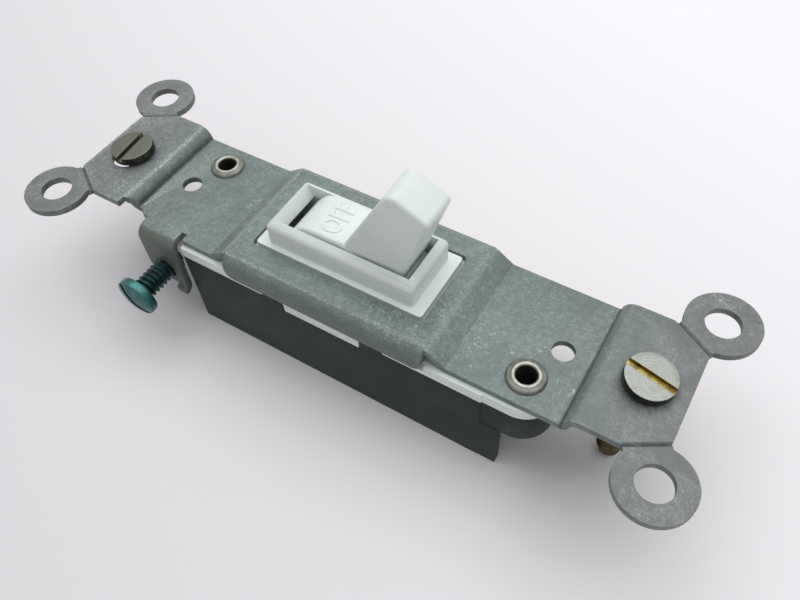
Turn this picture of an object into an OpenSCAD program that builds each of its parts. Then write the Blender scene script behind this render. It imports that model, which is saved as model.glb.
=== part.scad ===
// Toggle wall switch on a galvanised mounting strap.
// X runs along the strap, Y across it, Z towards the room.
// Z = 0 is the strap's front face beside the cover-plate screw holes.

/* [Strap] */
// Thickness of the strap sheet
strap_t = 1.0; // [0.8:0.1:1.3]
// Width of the strap beside the platform
strap_w = 18.9; // [18:0.1:20]
// Distance between the two cover-plate screw holes
cover_screw_span = 60.33; // [58:0.01:62]
// Diameter of the tapped cover-plate screw holes
cover_screw_d = 3.0; // [2.6:0.1:3.4]
// Distance between the two box screw slots
box_screw_span = 83.34; // [82:0.01:85]
// Height of the raised platform
platform_h = 2.0; // [1.6:0.1:2.4]
// Length of the platform's flat top
platform_l = 31.4; // [30.4:0.1:32.4]
// Width over the two skirts of the platform
skirt_w = 20.8; // [20.6:0.1:22]
// Depth of the skirts below the front face
skirt_drop = 1.9; // [1.5:0.1:2.2]
// Outer radius of the bends along the skirts and the grounding tab
bend_r = 2.0; // [1.6:0.1:2.4]
// Length of the slope at each end of the platform
slope_l = 2.9; // [2.5:0.1:3.6]
// Outer radius of the bend at the top of each slope
slope_bend_r = 3.0; // [2:0.1:3.4]
// Inner radius of the creases at the foot of slopes and steps
crease_r = 0.3; // [0.2:0.05:0.5]
// Height of the end pads
pad_h = 2.1; // [1.6:0.1:2.6]
// Distance between the two steps up to the pads
pad_gap = 68.7; // [68:0.1:69.6]
// Length of each step up to a pad
pad_step_l = 0.4; // [0.35:0.05:0.8]
// Distance between the straight ends of the pads
pad_span = 91.4; // [90.6:0.1:93]

/* [Ears] */
// Distance between the ear holes along the strap
ear_span_x = 91.3; // [90.5:0.1:92.5]
// Distance between the ear holes across the strap
ear_span_y = 23.8; // [23:0.1:24.6]
// Outer diameter of an ear
ear_d = 9.4; // [8.8:0.1:10]
// Diameter of an ear hole
ear_hole_d = 4.5; // [4:0.1:5]
// Length of the scored line where an ear breaks off
score_l = 5.5; // [5:0.1:5.5]
// Depth of the scored line
score_depth = 0.3; // [0.2:0.05:0.5]

/* [Box screw slots] */
// Width of the left slot, along the strap
left_slot_l = 4.8; // [4.7:0.1:5.4]
// Length of the left slot, across the strap
left_slot_w = 6.7; // [6.2:0.1:7.4]
// Length of the right slot, along the strap
right_slot_l = 5.6; // [5.3:0.1:6.4]
// Width of the right slot, across the strap
right_slot_w = 5.0; // [5:0.1:5.6]

/* [Grounding tab] */
// Distance of the tab's centre past the body's end
tab_out = 4.2; // [4:0.05:4.5]
// Width of the tab
tab_w = 6.6; // [6.2:0.1:7]
// Distance of the tab's outer face from the strap's centre line
tab_reach = 11.0; // [10.8:0.1:11.6]
// Depth of the tab below the front face
tab_drop = 9.5; // [9.2:0.1:10.2]
// Width of the lip at the tab's foot
lip_w = 1.8; // [1.4:0.1:2.4]
// Outer radius of the lip's curl
lip_r = 1.5; // [1.4:0.1:1.8]
// Width of the relief cut on the tab's inner side
relief_w = 1.0; // [0.8:0.1:1.4]
// Length of the relief cut on the tab's outer side
relief_l = 4.05; // [3.6:0.05:4.3]
// Depth of the relief cuts from the strap's edge
relief_depth = 1.25; // [1:0.05:1.5]

/* [Rivets] */
// Distance of each rivet past the body's end
rivet_out = 3.7; // [3.3:0.1:4.1]
// Distance of each rivet from the body's long side
rivet_in = 4.5; // [4.3:0.1:4.7]
// Diameter of the rivet's flange
rivet_flange_d = 5.2; // [5:0.1:5.6]
// Height of the rivet's flange
rivet_flange_h = 0.7; // [0.5:0.1:0.9]
// Outer diameter of the rivet's tube
rivet_d = 3.5; // [3.3:0.1:3.7]
// Bore of the rivet
rivet_bore = 2.7; // [2.4:0.1:2.9]

/* [Cover] */
// Thickness of the cover plate
cover_t = 1.75; // [1.5:0.05:2]
// Length of the cover and the base
body_l = 48.2; // [47.4:0.1:49]
// Width of the cover and the base
body_w = 20.2; // [19.8:0.1:20.4]
// Diameter of the lugs round the rivets
lug_d = 8.6; // [8:0.1:8.8]
// Length of the flange in the strap's opening
flange_l = 26.2; // [25.6:0.1:27]
// Width of the flange in the strap's opening
flange_w = 11.2; // [11:0.1:11.6]
// Gap round the flange in the strap's opening
flange_gap = 0.45; // [0.3:0.05:0.6]
// Height of the flange above the platform
flange_proud = 0.1; // [0.05:0.05:0.3]
// Length of the rim
rim_l = 22.9; // [22.4:0.1:23.4]
// Width of the rim
rim_w = 9.7; // [9.5:0.1:10.2]
// Height of the rim's inner edge above the front face
rim_h = 6.15; // [5.8:0.05:6.4]
// Height of the rim's outer edge above the front face
rim_edge_h = 5.3; // [5:0.05:5.6]
// Length of the opening in the rim, below the ramps at its ends
window_l = 19.0; // [18.8:0.1:19.4]
// Length of the opening in the rim, at the top of the ramps
window_top_l = 20.9; // [20.5:0.1:21.2]
// Height of the ramps' foot above the front face
ramp_foot = 4.2; // [4:0.05:4.6]
// Width of the opening in the rim
window_w = 7.5; // [7.2:0.1:7.7]
// Width of the clip on each long side of the cover
clip_w = 12.2; // [11.4:0.1:12.8]
// Depth of the clips below the cover plate
clip_drop = 1.3; // [1:0.1:1.6]

/* [Base] */
// Depth of the base's back below the front face
base_depth = 17.0; // [16.6:0.1:18]
// Thickness of the base's floor
floor_t = 1.8; // [1.5:0.1:2.2]
// Thickness of the base's outer walls
wall_t = 1.7; // [1.4:0.1:1.9]
// Length of the fin past each end of the base
fin_l = 2.7; // [2:0.1:3.4]
// Thickness of the fins
fin_t = 1.2; // [1:0.1:1.5]
// Depth of the lugs' underside below the front face
lug_depth = 8.0; // [7.6:0.1:8.4]
// Width of the posts that rise beside the clips
post_w = 3.4; // [2.8:0.1:3.8]
// Distance from the centre line to the contact chamber's far wall
chamber_far = 4.5; // [4.45:0.05:4.6]
// Diameter of the push-in wire holes in the back
wire_hole_d = 2.2; // [2:0.1:2.6]

/* [Toggle] */
// Depth of the toggle's pivot below the front face
pivot_depth = 4.9; // [4.7:0.05:5.1]
// Angle that the lever leans from upright at each end of its throw
lean = 24.5; // [23:0.5:25]
// Height of the lever's tip above the pivot
lever_h = 24.4; // [22.5:0.1:25]
// Width of the lever's tip along the strap
tip_l = 6.2; // [5.8:0.1:6.6]
// Width of the lever's root along the strap
root_l = 9.0; // [8.6:0.1:9.2]
// Height of the lever's root above the pivot
root_h = 10.9; // [10.6:0.1:11.2]
// Width of the lever's tip across the strap
lever_w = 5.7; // [5.3:0.1:6.2]
// Width of the lever's root across the strap
root_w = 7.0; // [6.6:0.1:7]
// Radius of the lever's tip corner on the side it leans away from
tip_r = 1.7; // [1.2:0.1:2]
// Radius of the lever's tip corner on the side it leans to
tip_front_r = 0.8; // [0.6:0.1:1.2]
// Half span of the shoulders
shoulder_x = 11.6; // [11.3:0.1:11.7]
// Height of the shoulders' ends above the pivot
shoulder_h = 4.7; // [4.5:0.1:4.8]
// Distance from the pivot to the shoulders' turn, along the strap
crown_x = 10.5; // [10.2:0.1:10.7]
// Height of the shoulders' turn above the pivot
crown_h = 8.0; // [7.8:0.1:8.2]
// Rounding of the shoulders' turn
crown_r = 3.8; // [3:0.1:4]
// Thickness of the shoulders
shoulder_t = 1.7; // [1.4:0.1:2]
// Width of the shoulders across the strap
shoulder_w = 7.1; // [7:0.05:7.15]
// Diameter of the toggle's hub
hub_d = 6.8; // [6.4:0.1:7]
// Diameter of the toggle's pivot pins
pivot_d = 3.0; // [2.6:0.1:3.2]
// Thickness of the cover's bearing ears
bearing_t = 1.5; // [1.3:0.1:1.6]
// Radial running clearance of pins and screws
run_gap = 0.05; // [0.03:0.01:0.08]

/* [Contacts] */
// Thickness of the brass strips
brass_t = 0.8; // [0.6:0.1:0.9]
// Angle that the rocker tips each way
rocker_tip = 6; // [5:0.5:6.5]
// Distance from the rocker's pivot to the contact
contact_x = 11.0; // [10.6:0.1:11.4]
// Diameter of the contact buttons
contact_d = 3.2; // [2.8:0.1:3.6]
// Height of each contact button
contact_h = 0.6; // [0.5:0.05:0.7]
// Width of the rocker
rocker_w = 5.0; // [4.4:0.1:5.2]
// Length of the rocker on the spring's side
rocker_tail = 7.0; // [6.6:0.1:7.4]
// Diameter of the rocker's pivot pins
rocker_pin_d = 1.6; // [1.4:0.1:1.8]
// Wire thickness of the toggle spring
spring_wire = 0.45; // [0.35:0.05:0.55]
// Outer diameter of the toggle spring
spring_d = 3.2; // [2.9:0.1:3.3]
// Number of turns in the toggle spring
spring_turns = 4; // [3:1:5]

/* [Screws] */
// Thread diameter of the box screws and the grounding screw
screw_d = 3.5; // [3.3:0.1:3.6]
// Head diameter of the box screws
box_head_d = 6.4; // [6:0.1:7]
// Head height of the box screws
box_head_h = 1.3; // [1.1:0.05:1.6]
// Length of the box screws under the head
box_screw_l = 19.05; // [17:0.05:19.05]
// Head diameter of the grounding screw
ground_head_d = 6.3; // [6:0.1:7]
// Rim height of the grounding screw's head
ground_rim_h = 1.3; // [1.1:0.1:1.5]
// Dome height of the grounding screw's head
ground_dome_h = 0.6; // [0.5:0.1:0.8]
// Length of the grounding screw that stands clear of the tab
ground_clear = 5.45; // [5.2:0.05:6]
// Depth of the grounding screw below the front face
ground_depth = 6.95; // [6.8:0.05:7.2]
// Width of the screw slots
drive_w = 0.9; // [0.7:0.1:1.1]
// Depth of the screw slots
drive_depth = 0.7; // [0.5:0.05:0.8]
// Thread diameter of the terminal screws
term_screw_d = 4.1; // [3.9:0.1:4.2]
// Head diameter of the terminal screws
term_head_d = 8.0; // [7.6:0.1:8.2]
// Head height of the terminal screws
term_head_h = 2.2; // [1.8:0.1:2.4]
// Distance of the terminal screws from the middle
term_x = 14.0; // [13.8:0.1:14.2]
// Depth of the terminal screws below the front face
term_depth = 9.0; // [8.8:0.1:9.2]
// Wire space under the terminal screws' heads
term_clear = 0.9; // [0.7:0.1:1]
// Outer diameter of the box screws' retaining washers
retainer_d = 6.6; // [6:0.1:7]
// Thickness of the retaining washers
retainer_t = 0.8; // [0.6:0.1:1]

/* [Hidden] */
$fn = 64;

// Cuts run this far past the faces that they open
cut = 0.2;
// Gap between plastic pieces that fit into each other
fit_gap = 0.1;
// Solids of one piece run this far into each other
lap = 1.0;
// Straight length kept between two roundings that nearly meet
sliver = 0.01;
// Straight pieces along each bend of the strap
bend_steps = 5;

// Body
body_x = body_l / 2;
body_y = body_w / 2;
rivet_x = body_x + rivet_out;
rivet_y = body_y - rivet_in;
rivet_hole_d = rivet_d + 2 * run_gap;

// Strap
half_w = strap_w / 2;
platform_x = platform_l / 2;
slope_x = platform_x + slope_l;
step_x = pad_gap / 2;
pad_x = step_x + pad_step_l;
strap_end_x = ear_span_x / 2 + ear_d / 2 + cut;
pad_end_x = pad_span / 2;
platform_under = platform_h - strap_t;
skirt_y = skirt_w / 2;
skirt_bend_y = skirt_y - bend_r;
skirt_corner_r = 1.4;
opening_corner_r = 0.7;
ear_x = ear_span_x / 2;
ear_y = ear_span_y / 2;
// The ear breaks off along a line that faces the ear at this angle from the strap's axis
score_angle = 59.1;
score_inset = ear_d / 2 - cut;
score_side = score_depth * sqrt(2);
neck_lap = 1.4;
// Each slot sits this far inside its nominal place
left_slot_in = 0.52;
right_slot_in = 0.6;
left_slot_x = -box_screw_span / 2 + left_slot_in;
left_slot_y = -0.5;
right_slot_x = box_screw_span / 2 - right_slot_in;

// Grounding tab
tab_x = -body_x - tab_out;
tab_left = tab_x - tab_w / 2;
tab_right = tab_x + tab_w / 2;
tab_bend_y = -tab_reach + bend_r;
tab_corner_r = 2.6;
// The relief cut on the tab's outer side is deepened by a round punch
punch_r = 1.6;
punch_off = 2.4;
punch_in = 0.35;
punch_x = tab_left - punch_off;
punch_y = -half_w + punch_in;

// Cover
cover_top = -strap_t;
cover_under = cover_top - cover_t;
skirt_gap = 0.05;
ledge_top = -skirt_drop - skirt_gap;
ledge_y = skirt_y - strap_t - fit_gap;
ledge_past = 0.3;
ledge_x = platform_x + ledge_past;
block_inset = 0.9;
block_x = platform_x - block_inset;
block_y = skirt_bend_y - fit_gap;
flange_top = platform_h + flange_proud;
window_r = 0.6;
pivot_z = -pivot_depth;
sweep_gap = 0.25;
bearing_in = window_w / 2 + skirt_gap;
bearing_out = bearing_in + bearing_t;
bearing_wall = 1.7;
bearing_x = pivot_d / 2 + bearing_wall;
bearing_low = pivot_z - bearing_x - fit_gap;

// Base
floor_z = -base_depth + floor_t;
end_wall_extra = 0.9;
chamber_x = body_x - wall_t - end_wall_extra;
chamber_near = -body_y + wall_t;
chamber_r = 0.8;
fin_lift = 0.2;
fin_low = -base_depth + fin_lift;
post_in = clip_w / 2 + 2 * fit_gap;
clip_t = 1.2;

// Contacts
strip_top = floor_z + brass_t;
fixed_top = strip_top + contact_h;
contact_clear = 0.05;
contact_gap = contact_d / 2 * sin(rocker_tip) + contact_clear;
rocker_z = fixed_top + contact_gap + contact_h + brass_t / 2 + contact_x * sin(rocker_tip);
rocker_nose = contact_x + contact_d / 2;
contact_seat = 0.4;
cradle_gap = 0.5;
cradle_in = rocker_w / 2 + cradle_gap;
cradle_out = cradle_in + brass_t;
cradle_wall = 1.0;
cradle_x = rocker_pin_d / 2 + cradle_wall;
cradle_head = 0.9;
cradle_top = rocker_z + rocker_pin_d / 2 + cradle_head;
stop_inset = 0.6;
stop_x = rocker_tail - stop_inset;
stop_l = 2.0;
stop_w = 3.6;
stop_gap = 0.2;
stop_top = rocker_z - brass_t / 2 - rocker_tail * sin(rocker_tip) - stop_gap;
recess_depth = 3.5;
recess_y = body_y - recess_depth;
plate_out = recess_y + brass_t;
head_gap = 0.4;
recess_w = term_head_d + 2 * head_gap;
recess_low = -term_depth - term_head_d / 2 - 2 * head_gap;
plate_gap = 0.3;
plate_w = recess_w - 2 * plate_gap;
plate_low = recess_low + head_gap;
bridge_w = 5.2;
bridge_x0 = term_x - bridge_w / 2;
bridge_x1 = term_x + bridge_w / 2;
bridge_gap = 0.25;
bridge_top = cover_under - bridge_gap;
bridge_low = bridge_top - brass_t;
strip_side = 1.5;
term_head_y = plate_out + term_clear;
term_tip_l = 0.8;
term_shank_l = term_clear + brass_t + term_tip_l;
term_pocket_y = term_head_y - term_shank_l - term_clear - cut;
spring_pocket_d = spring_d + 2 * fit_gap;
spring_pocket_depth = 1.6;
stem_inset = 0.4;
tip_steps = 6;
wire_hole_in = 2.2;
wire_hole_x = chamber_x - wire_hole_in;
wire_hole_y = -3.0;
clip_leaf_t = 0.4;
clip_leaf_w = 4.0;
clip_leaf_h = 8.0;
clip_leaf_reach = 3.2;

// Screws
box_head_gap = 0.08;
left_screw_turn = [0, -2.5, 96];
right_screw_turn = [1.2, 4.9, -9];
// The box screws hang loose, so each one lies off its slot's middle
left_screw_off = [0.55, 0.05];
right_screw_off = [-0.46, -0.51];
left_screw_at = [left_slot_x + left_screw_off.x, left_slot_y + left_screw_off.y,
                 pad_h - strap_t / 2];
right_screw_at = [right_slot_x + right_screw_off.x, right_screw_off.y, pad_h - strap_t / 2];
retainer_drop = 5;
ground_tip_past = 1.6;
ground_tip_l = strap_t + ground_tip_past;
ground_slot_turn = -50;

// Vector helpers
function unit(v) = v / norm(v);
function reversed(list) = [for (i = [len(list) - 1:-1:0]) list[i]];
function fillet(a, b, c, r, n) =
    let (u = unit(a - b), w = unit(c - b), half = acos(u * w) / 2, sweep = 180 - 2 * half)
    let (centre = b + unit(u + w) * r / sin(half))
    let (from = b + u * r / tan(half) - centre, to = b + w * r / tan(half) - centre)
    [for (i = [0:n]) let (s = sweep * i / n) centre + (from * sin(sweep - s) + to * sin(s)) / sin(sweep)];
function rounded_path(p, radii, n) =
    [p[0], for (i = [1:len(p) - 2]) each fillet(p[i - 1], p[i], p[i + 1], radii[i - 1], n), p[len(p) - 1]];
function along(p, i) = unit(p[min(i + 1, len(p) - 1)] - p[max(i - 1, 0)]);
function beside(p, d) = [for (i = [0:len(p) - 1]) let (t = along(p, i)) p[i] + d * [-t.y, t.x]];

// Centre line of the strap's sheet, seen from the side, from left to right
strap_right = [[platform_x, platform_h], [slope_x, 0], [step_x, 0], [pad_x, pad_h], [strap_end_x, pad_h]];
strap_left = [for (q = reversed(strap_right)) [-q.x, q.y]];
strap_line = [for (p = concat(strap_left, strap_right)) p - [0, strap_t / 2]];
crease_mid = crease_r + strap_t / 2;
right_bends = [slope_bend_r - strap_t / 2, crease_mid, crease_mid, bend_r - strap_t / 2];
strap_path = rounded_path(strap_line, concat(reversed(right_bends), right_bends), bend_steps);

// Top line of one shoulder, from the toggle's middle to the shoulder's end
lever_root = [root_l / 2, root_h];
shoulder_end = [shoulder_x, shoulder_h];
shoulder_turn = fillet(lever_root, [crown_x, crown_h], shoulder_end, crown_r, tip_steps);
shoulder_top = concat([[0, root_h], lever_root], shoulder_turn, [shoulder_end]);
sweep_r = max([for (p = shoulder_top) norm(p)]);

// Plain shapes
module rounded_box(l, w, r) {
    square([l - 2 * r, w], center = true);
    square([l, w - 2 * r], center = true);
    for (sx = [-1, 1], sy = [-1, 1])
        translate([sx * (l / 2 - r), sy * (w / 2 - r)]) circle(r);
}

module slab(x0, x1, y0, y1, z0, z1) {
    translate([x0, y0, z0]) cube([x1 - x0, y1 - y0, z1 - z0]);
}

module raised(z0, z1) {
    translate([0, 0, z0]) linear_extrude(z1 - z0) children();
}

// A drawing in the X-Z plane, thickened from y0 to y1
module across(y0, y1) {
    translate([0, y1, 0]) rotate([90, 0, 0]) linear_extrude(y1 - y0) children();
}

// A drawing in the Y-Z plane, thickened from x0 to x1
module lengthwise(x0, x1) {
    translate([x0, 0, 0]) rotate([90, 0, 90]) linear_extrude(x1 - x0) children();
}

module cross_pin(x, z, d, y0, y1) {
    across(y0, y1) translate([x, z]) circle(d = d);
}

// Both halves of what is the same when the switch is turned end for end
module both_ends() {
    children();
    rotate(180) children();
}

// Quarter of a bent sheet about [y, z], turning from +Z round to -Y
module quarter_bend(y, z, r, t) {
    translate([y, z]) intersection() {
        difference() {
            circle(r);
            circle(r - t);
        }
        translate([-r, 0]) square(r);
    }
}

// Strap
module ear_neck() {
    translate([ear_x, ear_y]) rotate(score_angle + 180)
        translate([0, -score_l / 2]) square([score_inset + neck_lap, score_l]);
}

module strap_plan() {
    difference() {
        union() {
            intersection() {
                square([pad_span, strap_w], center = true);
                union() {
                    square([2 * step_x, strap_w], center = true);
                    for (sx = [0, 1], sy = [0, 1]) mirror([sx, 0]) mirror([0, sy]) pad_quarter();
                }
            }
            for (sx = [0, 1], sy = [0, 1]) mirror([sx, 0]) mirror([0, sy]) {
                translate([ear_x, ear_y]) circle(d = ear_d);
                ear_neck();
            }
        }
        strap_holes();
    }
}

// Quarter of a pad, with its corner cut along the scored line
module pad_quarter() {
    intersection() {
        translate([step_x - lap, 0]) square([pad_end_x - step_x + lap, half_w]);
        translate([ear_x, ear_y]) rotate(score_angle + 180)
            translate([score_inset, -pad_span]) square(2 * pad_span);
    }
}

module strap_holes() {
    for (sx = [-1, 1], sy = [-1, 1]) translate([sx * ear_x, sy * ear_y]) circle(d = ear_hole_d);
    for (sx = [-1, 1]) translate([sx * cover_screw_span / 2, 0]) circle(d = cover_screw_d);
    both_ends() translate([rivet_x, -rivet_y]) circle(d = rivet_hole_d);
    translate([left_slot_x, left_slot_y]) rounded_box(left_slot_l, left_slot_w, left_slot_l / 2 - sliver);
    translate([right_slot_x, 0]) rounded_box(right_slot_l, right_slot_w, right_slot_w / 2 - sliver);
    rounded_box(flange_l + 2 * flange_gap, flange_w + 2 * flange_gap, opening_corner_r);
    for (sy = [-1, 1]) translate([-platform_x, sy == 1 ? skirt_bend_y : -half_w - cut])
        square([platform_l, half_w - skirt_bend_y + cut]);
    translate([tab_left - relief_l, -half_w - cut]) square([relief_l, relief_depth + cut]);
    translate([punch_x, punch_y]) circle(punch_r);
    translate([tab_left - cut, -half_w - cut]) square([tab_w + 2 * cut, half_w + tab_bend_y + cut]);
    translate([tab_right, -half_w - cut]) square([relief_w, relief_depth + cut]);
}

module skirt() {
    intersection() {
        lengthwise(-platform_x, platform_x) {
            quarter_bend(-skirt_bend_y, platform_h - bend_r, bend_r, strap_t);
            translate([-skirt_y, -skirt_drop]) square([strap_t, skirt_drop + platform_h - bend_r]);
        }
        across(-skirt_y - cut, 0) translate([0, skirt_w / 2 - skirt_drop])
            rounded_box(platform_l, skirt_w, skirt_corner_r);
    }
}

module ground_tab() {
    intersection() {
        lengthwise(tab_left, tab_right) {
            quarter_bend(tab_bend_y, -bend_r, bend_r, strap_t);
            translate([-tab_reach, -tab_drop]) square([strap_t, tab_drop - bend_r]);
        }
        across(-tab_reach - cut, 0) {
            translate([tab_x, tab_w / 2 - tab_drop]) {
                rounded_box(tab_w, tab_w, tab_corner_r);
                square([tab_w / 2, tab_w], center = false);
                translate([0, -tab_w / 2]) square(tab_w / 2);
            }
            translate([tab_left, tab_w / 2 - tab_drop]) square([tab_w, tab_drop]);
        }
    }
    lengthwise(tab_right - lip_w, tab_right)
        translate([-tab_reach - lip_r + strap_t, -tab_drop]) rotate(180) quarter_bend(0, 0, lip_r, strap_t);
}

module score(sx, sy) {
    mirror([sx, 0]) mirror([0, sy]) translate([ear_x, ear_y, pad_h]) rotate(score_angle + 180)
        translate([score_inset, 0, 0]) rotate([0, 45, 0])
            cube([score_side, score_l + lap, score_side], center = true);
}

module strap() {
    color("#969e9c") difference() {
        union() {
            intersection() {
                across(-ear_span_y, ear_span_y)
                    polygon(concat(beside(strap_path, strap_t / 2),
                                   reversed(beside(strap_path, -strap_t / 2))));
                raised(-strap_t - cut, platform_h + pad_h) strap_plan();
            }
            both_ends() skirt();
            ground_tab();
        }
        for (sx = [0, 1], sy = [0, 1]) score(sx, sy);
        cross_pin(tab_x, -ground_depth, screw_d + 2 * run_gap, -tab_reach - cut,
                  -tab_reach + strap_t + cut);
    }
}

// Cover
module lug_plan() {
    translate([rivet_x, -rivet_y]) circle(d = lug_d);
    translate([body_x - lap, -rivet_y - lug_d / 2]) square([rivet_out + lap, lug_d]);
}

module body_plan() {
    square([body_l, body_w], center = true);
    both_ends() lug_plan();
}

module skirt_room() {
    for (sy = [-1, 1]) translate([0, sy * (ledge_y + body_w / 2)])
        square([2 * ledge_x, body_w], center = true);
}

module bearing_plan() {
    translate([0, pivot_z]) circle(bearing_x);
    translate([-bearing_x, pivot_z]) square([2 * bearing_x, cover_under - pivot_z + cut]);
}

// Section of the rim, with its top falling from the opening to the outside
module rim_section(outside, opening) {
    foot = flange_top - cut;
    polygon([[-outside / 2, foot], [outside / 2, foot], [outside / 2, rim_edge_h], [opening / 2, rim_h],
             [-opening / 2, rim_h], [-outside / 2, rim_edge_h]]);
}

module rim() {
    intersection() {
        raised(flange_top - cut, rim_h) rounded_box(rim_l, rim_w, window_r);
        lengthwise(-rim_l / 2, rim_l / 2) rim_section(rim_w, window_w);
        across(-rim_w / 2, rim_w / 2) rim_section(rim_l, window_top_l);
    }
}

// Opening in the rim, longer at the top, where each end is a ramp
module window() {
    raised(cover_under - cut, rim_h + cut) rounded_box(window_l, window_w, window_r);
    across(-window_w / 2, window_w / 2)
        polygon([[-window_l / 2, ramp_foot], [window_l / 2, ramp_foot], [window_top_l / 2, rim_h],
                 [window_top_l / 2, rim_h + cut], [-window_top_l / 2, rim_h + cut],
                 [-window_top_l / 2, rim_h]]);
}

module cover() {
    color("#e8e8e6") difference() {
        union() {
            raised(cover_under, ledge_top) difference() {
                body_plan();
                for (sx = [0, 1], sy = [0, 1]) mirror([sx, 0]) mirror([0, sy])
                    translate([post_in - fit_gap, body_y - clip_t - fit_gap])
                        square([post_w + 2 * fit_gap, 2 * clip_t]);
            }
            raised(ledge_top, cover_top) difference() {
                body_plan();
                skirt_room();
            }
            slab(-block_x, block_x, -block_y, block_y, cover_top - cut, platform_under);
            raised(platform_under - cut, flange_top)
                rounded_box(flange_l, flange_w, opening_corner_r - flange_gap / 2);
            rim();
            both_ends() {
                slab(-clip_w / 2, clip_w / 2, -body_y, -body_y + clip_t, cover_under - clip_drop,
                     ledge_top);
                across(bearing_in, bearing_out) bearing_plan();
            }
        }
        window();
        cross_pin(0, pivot_z, 2 * (sweep_r + sweep_gap), -window_w / 2, window_w / 2);
        cross_pin(0, pivot_z, pivot_d + 2 * run_gap, -bearing_out - cut, bearing_out + cut);
        both_ends() translate([rivet_x, -rivet_y, 0])
            raised(cover_under - cut, cover_top + cut) circle(d = rivet_hole_d);
    }
}

// Base
module base_outside() {
    raised(-base_depth, cover_under) square([body_l, body_w], center = true);
    both_ends() {
        slab(body_x - lap, body_x + fin_l, -body_y, -body_y + fin_t, fin_low, -lug_depth + cut);
        raised(-lug_depth, cover_under) lug_plan();
        for (sx = [0, 1]) mirror([sx, 0, 0])
            slab(post_in, post_in + post_w, -body_y, -body_y + clip_t, cover_under - cut, ledge_top);
    }
}

module terminal_recess() {
    slab(term_x - recess_w / 2, term_x + recess_w / 2, recess_y, body_y + cut, recess_low,
         cover_under + cut);
    slab(bridge_x0 - 2 * fit_gap, bridge_x1 + 2 * fit_gap, chamber_far - cut, recess_y + cut,
         bridge_low - 2 * fit_gap, cover_under + cut);
    cross_pin(term_x, -term_depth, term_screw_d + 2 * plate_gap, term_pocket_y, recess_y + cut);
    translate([wire_hole_x, wire_hole_y, -base_depth - cut])
        cylinder(d = wire_hole_d, h = floor_t + 2 * cut);
}

module base() {
    color("#343b39") difference() {
        union() {
            difference() {
                base_outside();
                raised(floor_z, cover_under + cut) translate([0, (chamber_near + chamber_far) / 2])
                    rounded_box(2 * chamber_x, chamber_far - chamber_near, chamber_r);
            }
            slab(-stop_x - stop_l / 2, -stop_x + stop_l / 2, -stop_w / 2, stop_w / 2, floor_z - cut,
                 stop_top);
        }
        for (sx = [0, 1]) mirror([sx, 0, 0]) terminal_recess();
        slab(-bearing_x - fit_gap, bearing_x + fit_gap, chamber_far - cut, bearing_out + 2 * fit_gap,
             bearing_low, cover_under + cut);
        both_ends() {
            slab(-post_in, post_in, -body_y - cut, -body_y + clip_t + fit_gap,
                 cover_under - clip_drop - fit_gap, cover_under + cut);
            translate([rivet_x, -rivet_y, 0])
                raised(-lug_depth - cut, cover_under + cut) circle(d = rivet_hole_d);
        }
    }
}

// Toggle, drawn upright about its pivot and then leaned over
module leaned() {
    translate([0, 0, pivot_z]) rotate([0, lean, 0]) children();
}

module lever_plan() {
    polygon(concat([lever_root],
                   fillet(lever_root, [tip_l / 2, lever_h], [0, lever_h], tip_front_r, tip_steps),
                   fillet([0, lever_h], [-tip_l / 2, lever_h], [-root_l / 2, root_h], tip_r, tip_steps),
                   [[-root_l / 2, root_h], [-root_l / 2, root_h - shoulder_t],
                    [root_l / 2, root_h - shoulder_t]]));
}

// Lever seen along the strap, narrowing to the tip
module lever_side() {
    polygon([[-root_w / 2, root_h - shoulder_t], [root_w / 2, root_h - shoulder_t], [root_w / 2, root_h],
             [lever_w / 2, lever_h], [-lever_w / 2, lever_h], [-root_w / 2, root_h]]);
}

module lever() {
    intersection() {
        across(-root_w / 2, root_w / 2) lever_plan();
        lengthwise(-root_l / 2, root_l / 2) lever_side();
    }
}

module shoulder_plan() {
    for (sx = [0, 1]) mirror([sx, 0])
        polygon(concat(shoulder_top, reversed(beside(shoulder_top, -shoulder_t))));
    translate([stem_inset - hub_d / 2, 0]) square([hub_d - 2 * stem_inset, root_h]);
    circle(d = hub_d);
}

module toggle() {
    color("#e6e6e2") leaned() difference() {
        union() {
            lever();
            across(-shoulder_w / 2, shoulder_w / 2) shoulder_plan();
            cross_pin(0, 0, pivot_d, -bearing_out + fit_gap, bearing_out - fit_gap);
        }
        translate([0, 0, -hub_d / 2 - cut]) cylinder(d = spring_pocket_d, h = spring_pocket_depth + cut);
    }
}

// Spring, one tube wound round the toggle's lower axis, from its pocket to just above the rocker
spring_top = -hub_d / 2 + spring_pocket_depth - spring_wire / 2 - contact_clear;
rocker_reach = ((pivot_z - rocker_z) * cos(rocker_tip) - brass_t / 2) / cos(lean + rocker_tip);
spring_low = -(rocker_reach - spring_d / 2 * tan(lean + rocker_tip) - spring_wire / 2 - fit_gap);
spring_r = (spring_d - spring_wire) / 2;
spring_rings = 16;
spring_sides = 6;
function coil_point(i) = let (s = i / (spring_turns * spring_rings), a = 360 * i / spring_rings)
    [spring_r * cos(a), spring_r * sin(a), spring_top + (spring_low - spring_top) * s];
function coil_ring(i) = let (a = 360 * i / spring_rings, c = coil_point(i))
    [for (k = [0:spring_sides - 1]) let (b = 360 * k / spring_sides)
        c + spring_wire / 2 * [cos(b) * cos(a), cos(b) * sin(a), sin(b)]];

module toggle_spring() {
    count = spring_turns * spring_rings;
    n = spring_sides;
    points = [for (i = [0:count]) each coil_ring(i)];
    sides = [for (i = [0:count - 1], k = [0:n - 1]) let (a = i * n + k, b = i * n + (k + 1) % n)
        each [[a, b, b + n], [a, b + n, a + n]]];
    caps = [for (k = [1:n - 2]) each [[0, k + 1, k], [count * n, count * n + k, count * n + k + 1]]];
    color("#b8bcc0") leaned() polyhedron(points, concat(sides, caps));
}

// Contact parts
module tipped() {
    translate([0, 0, rocker_z]) rotate([0, -rocker_tip, 0]) children();
}

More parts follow.
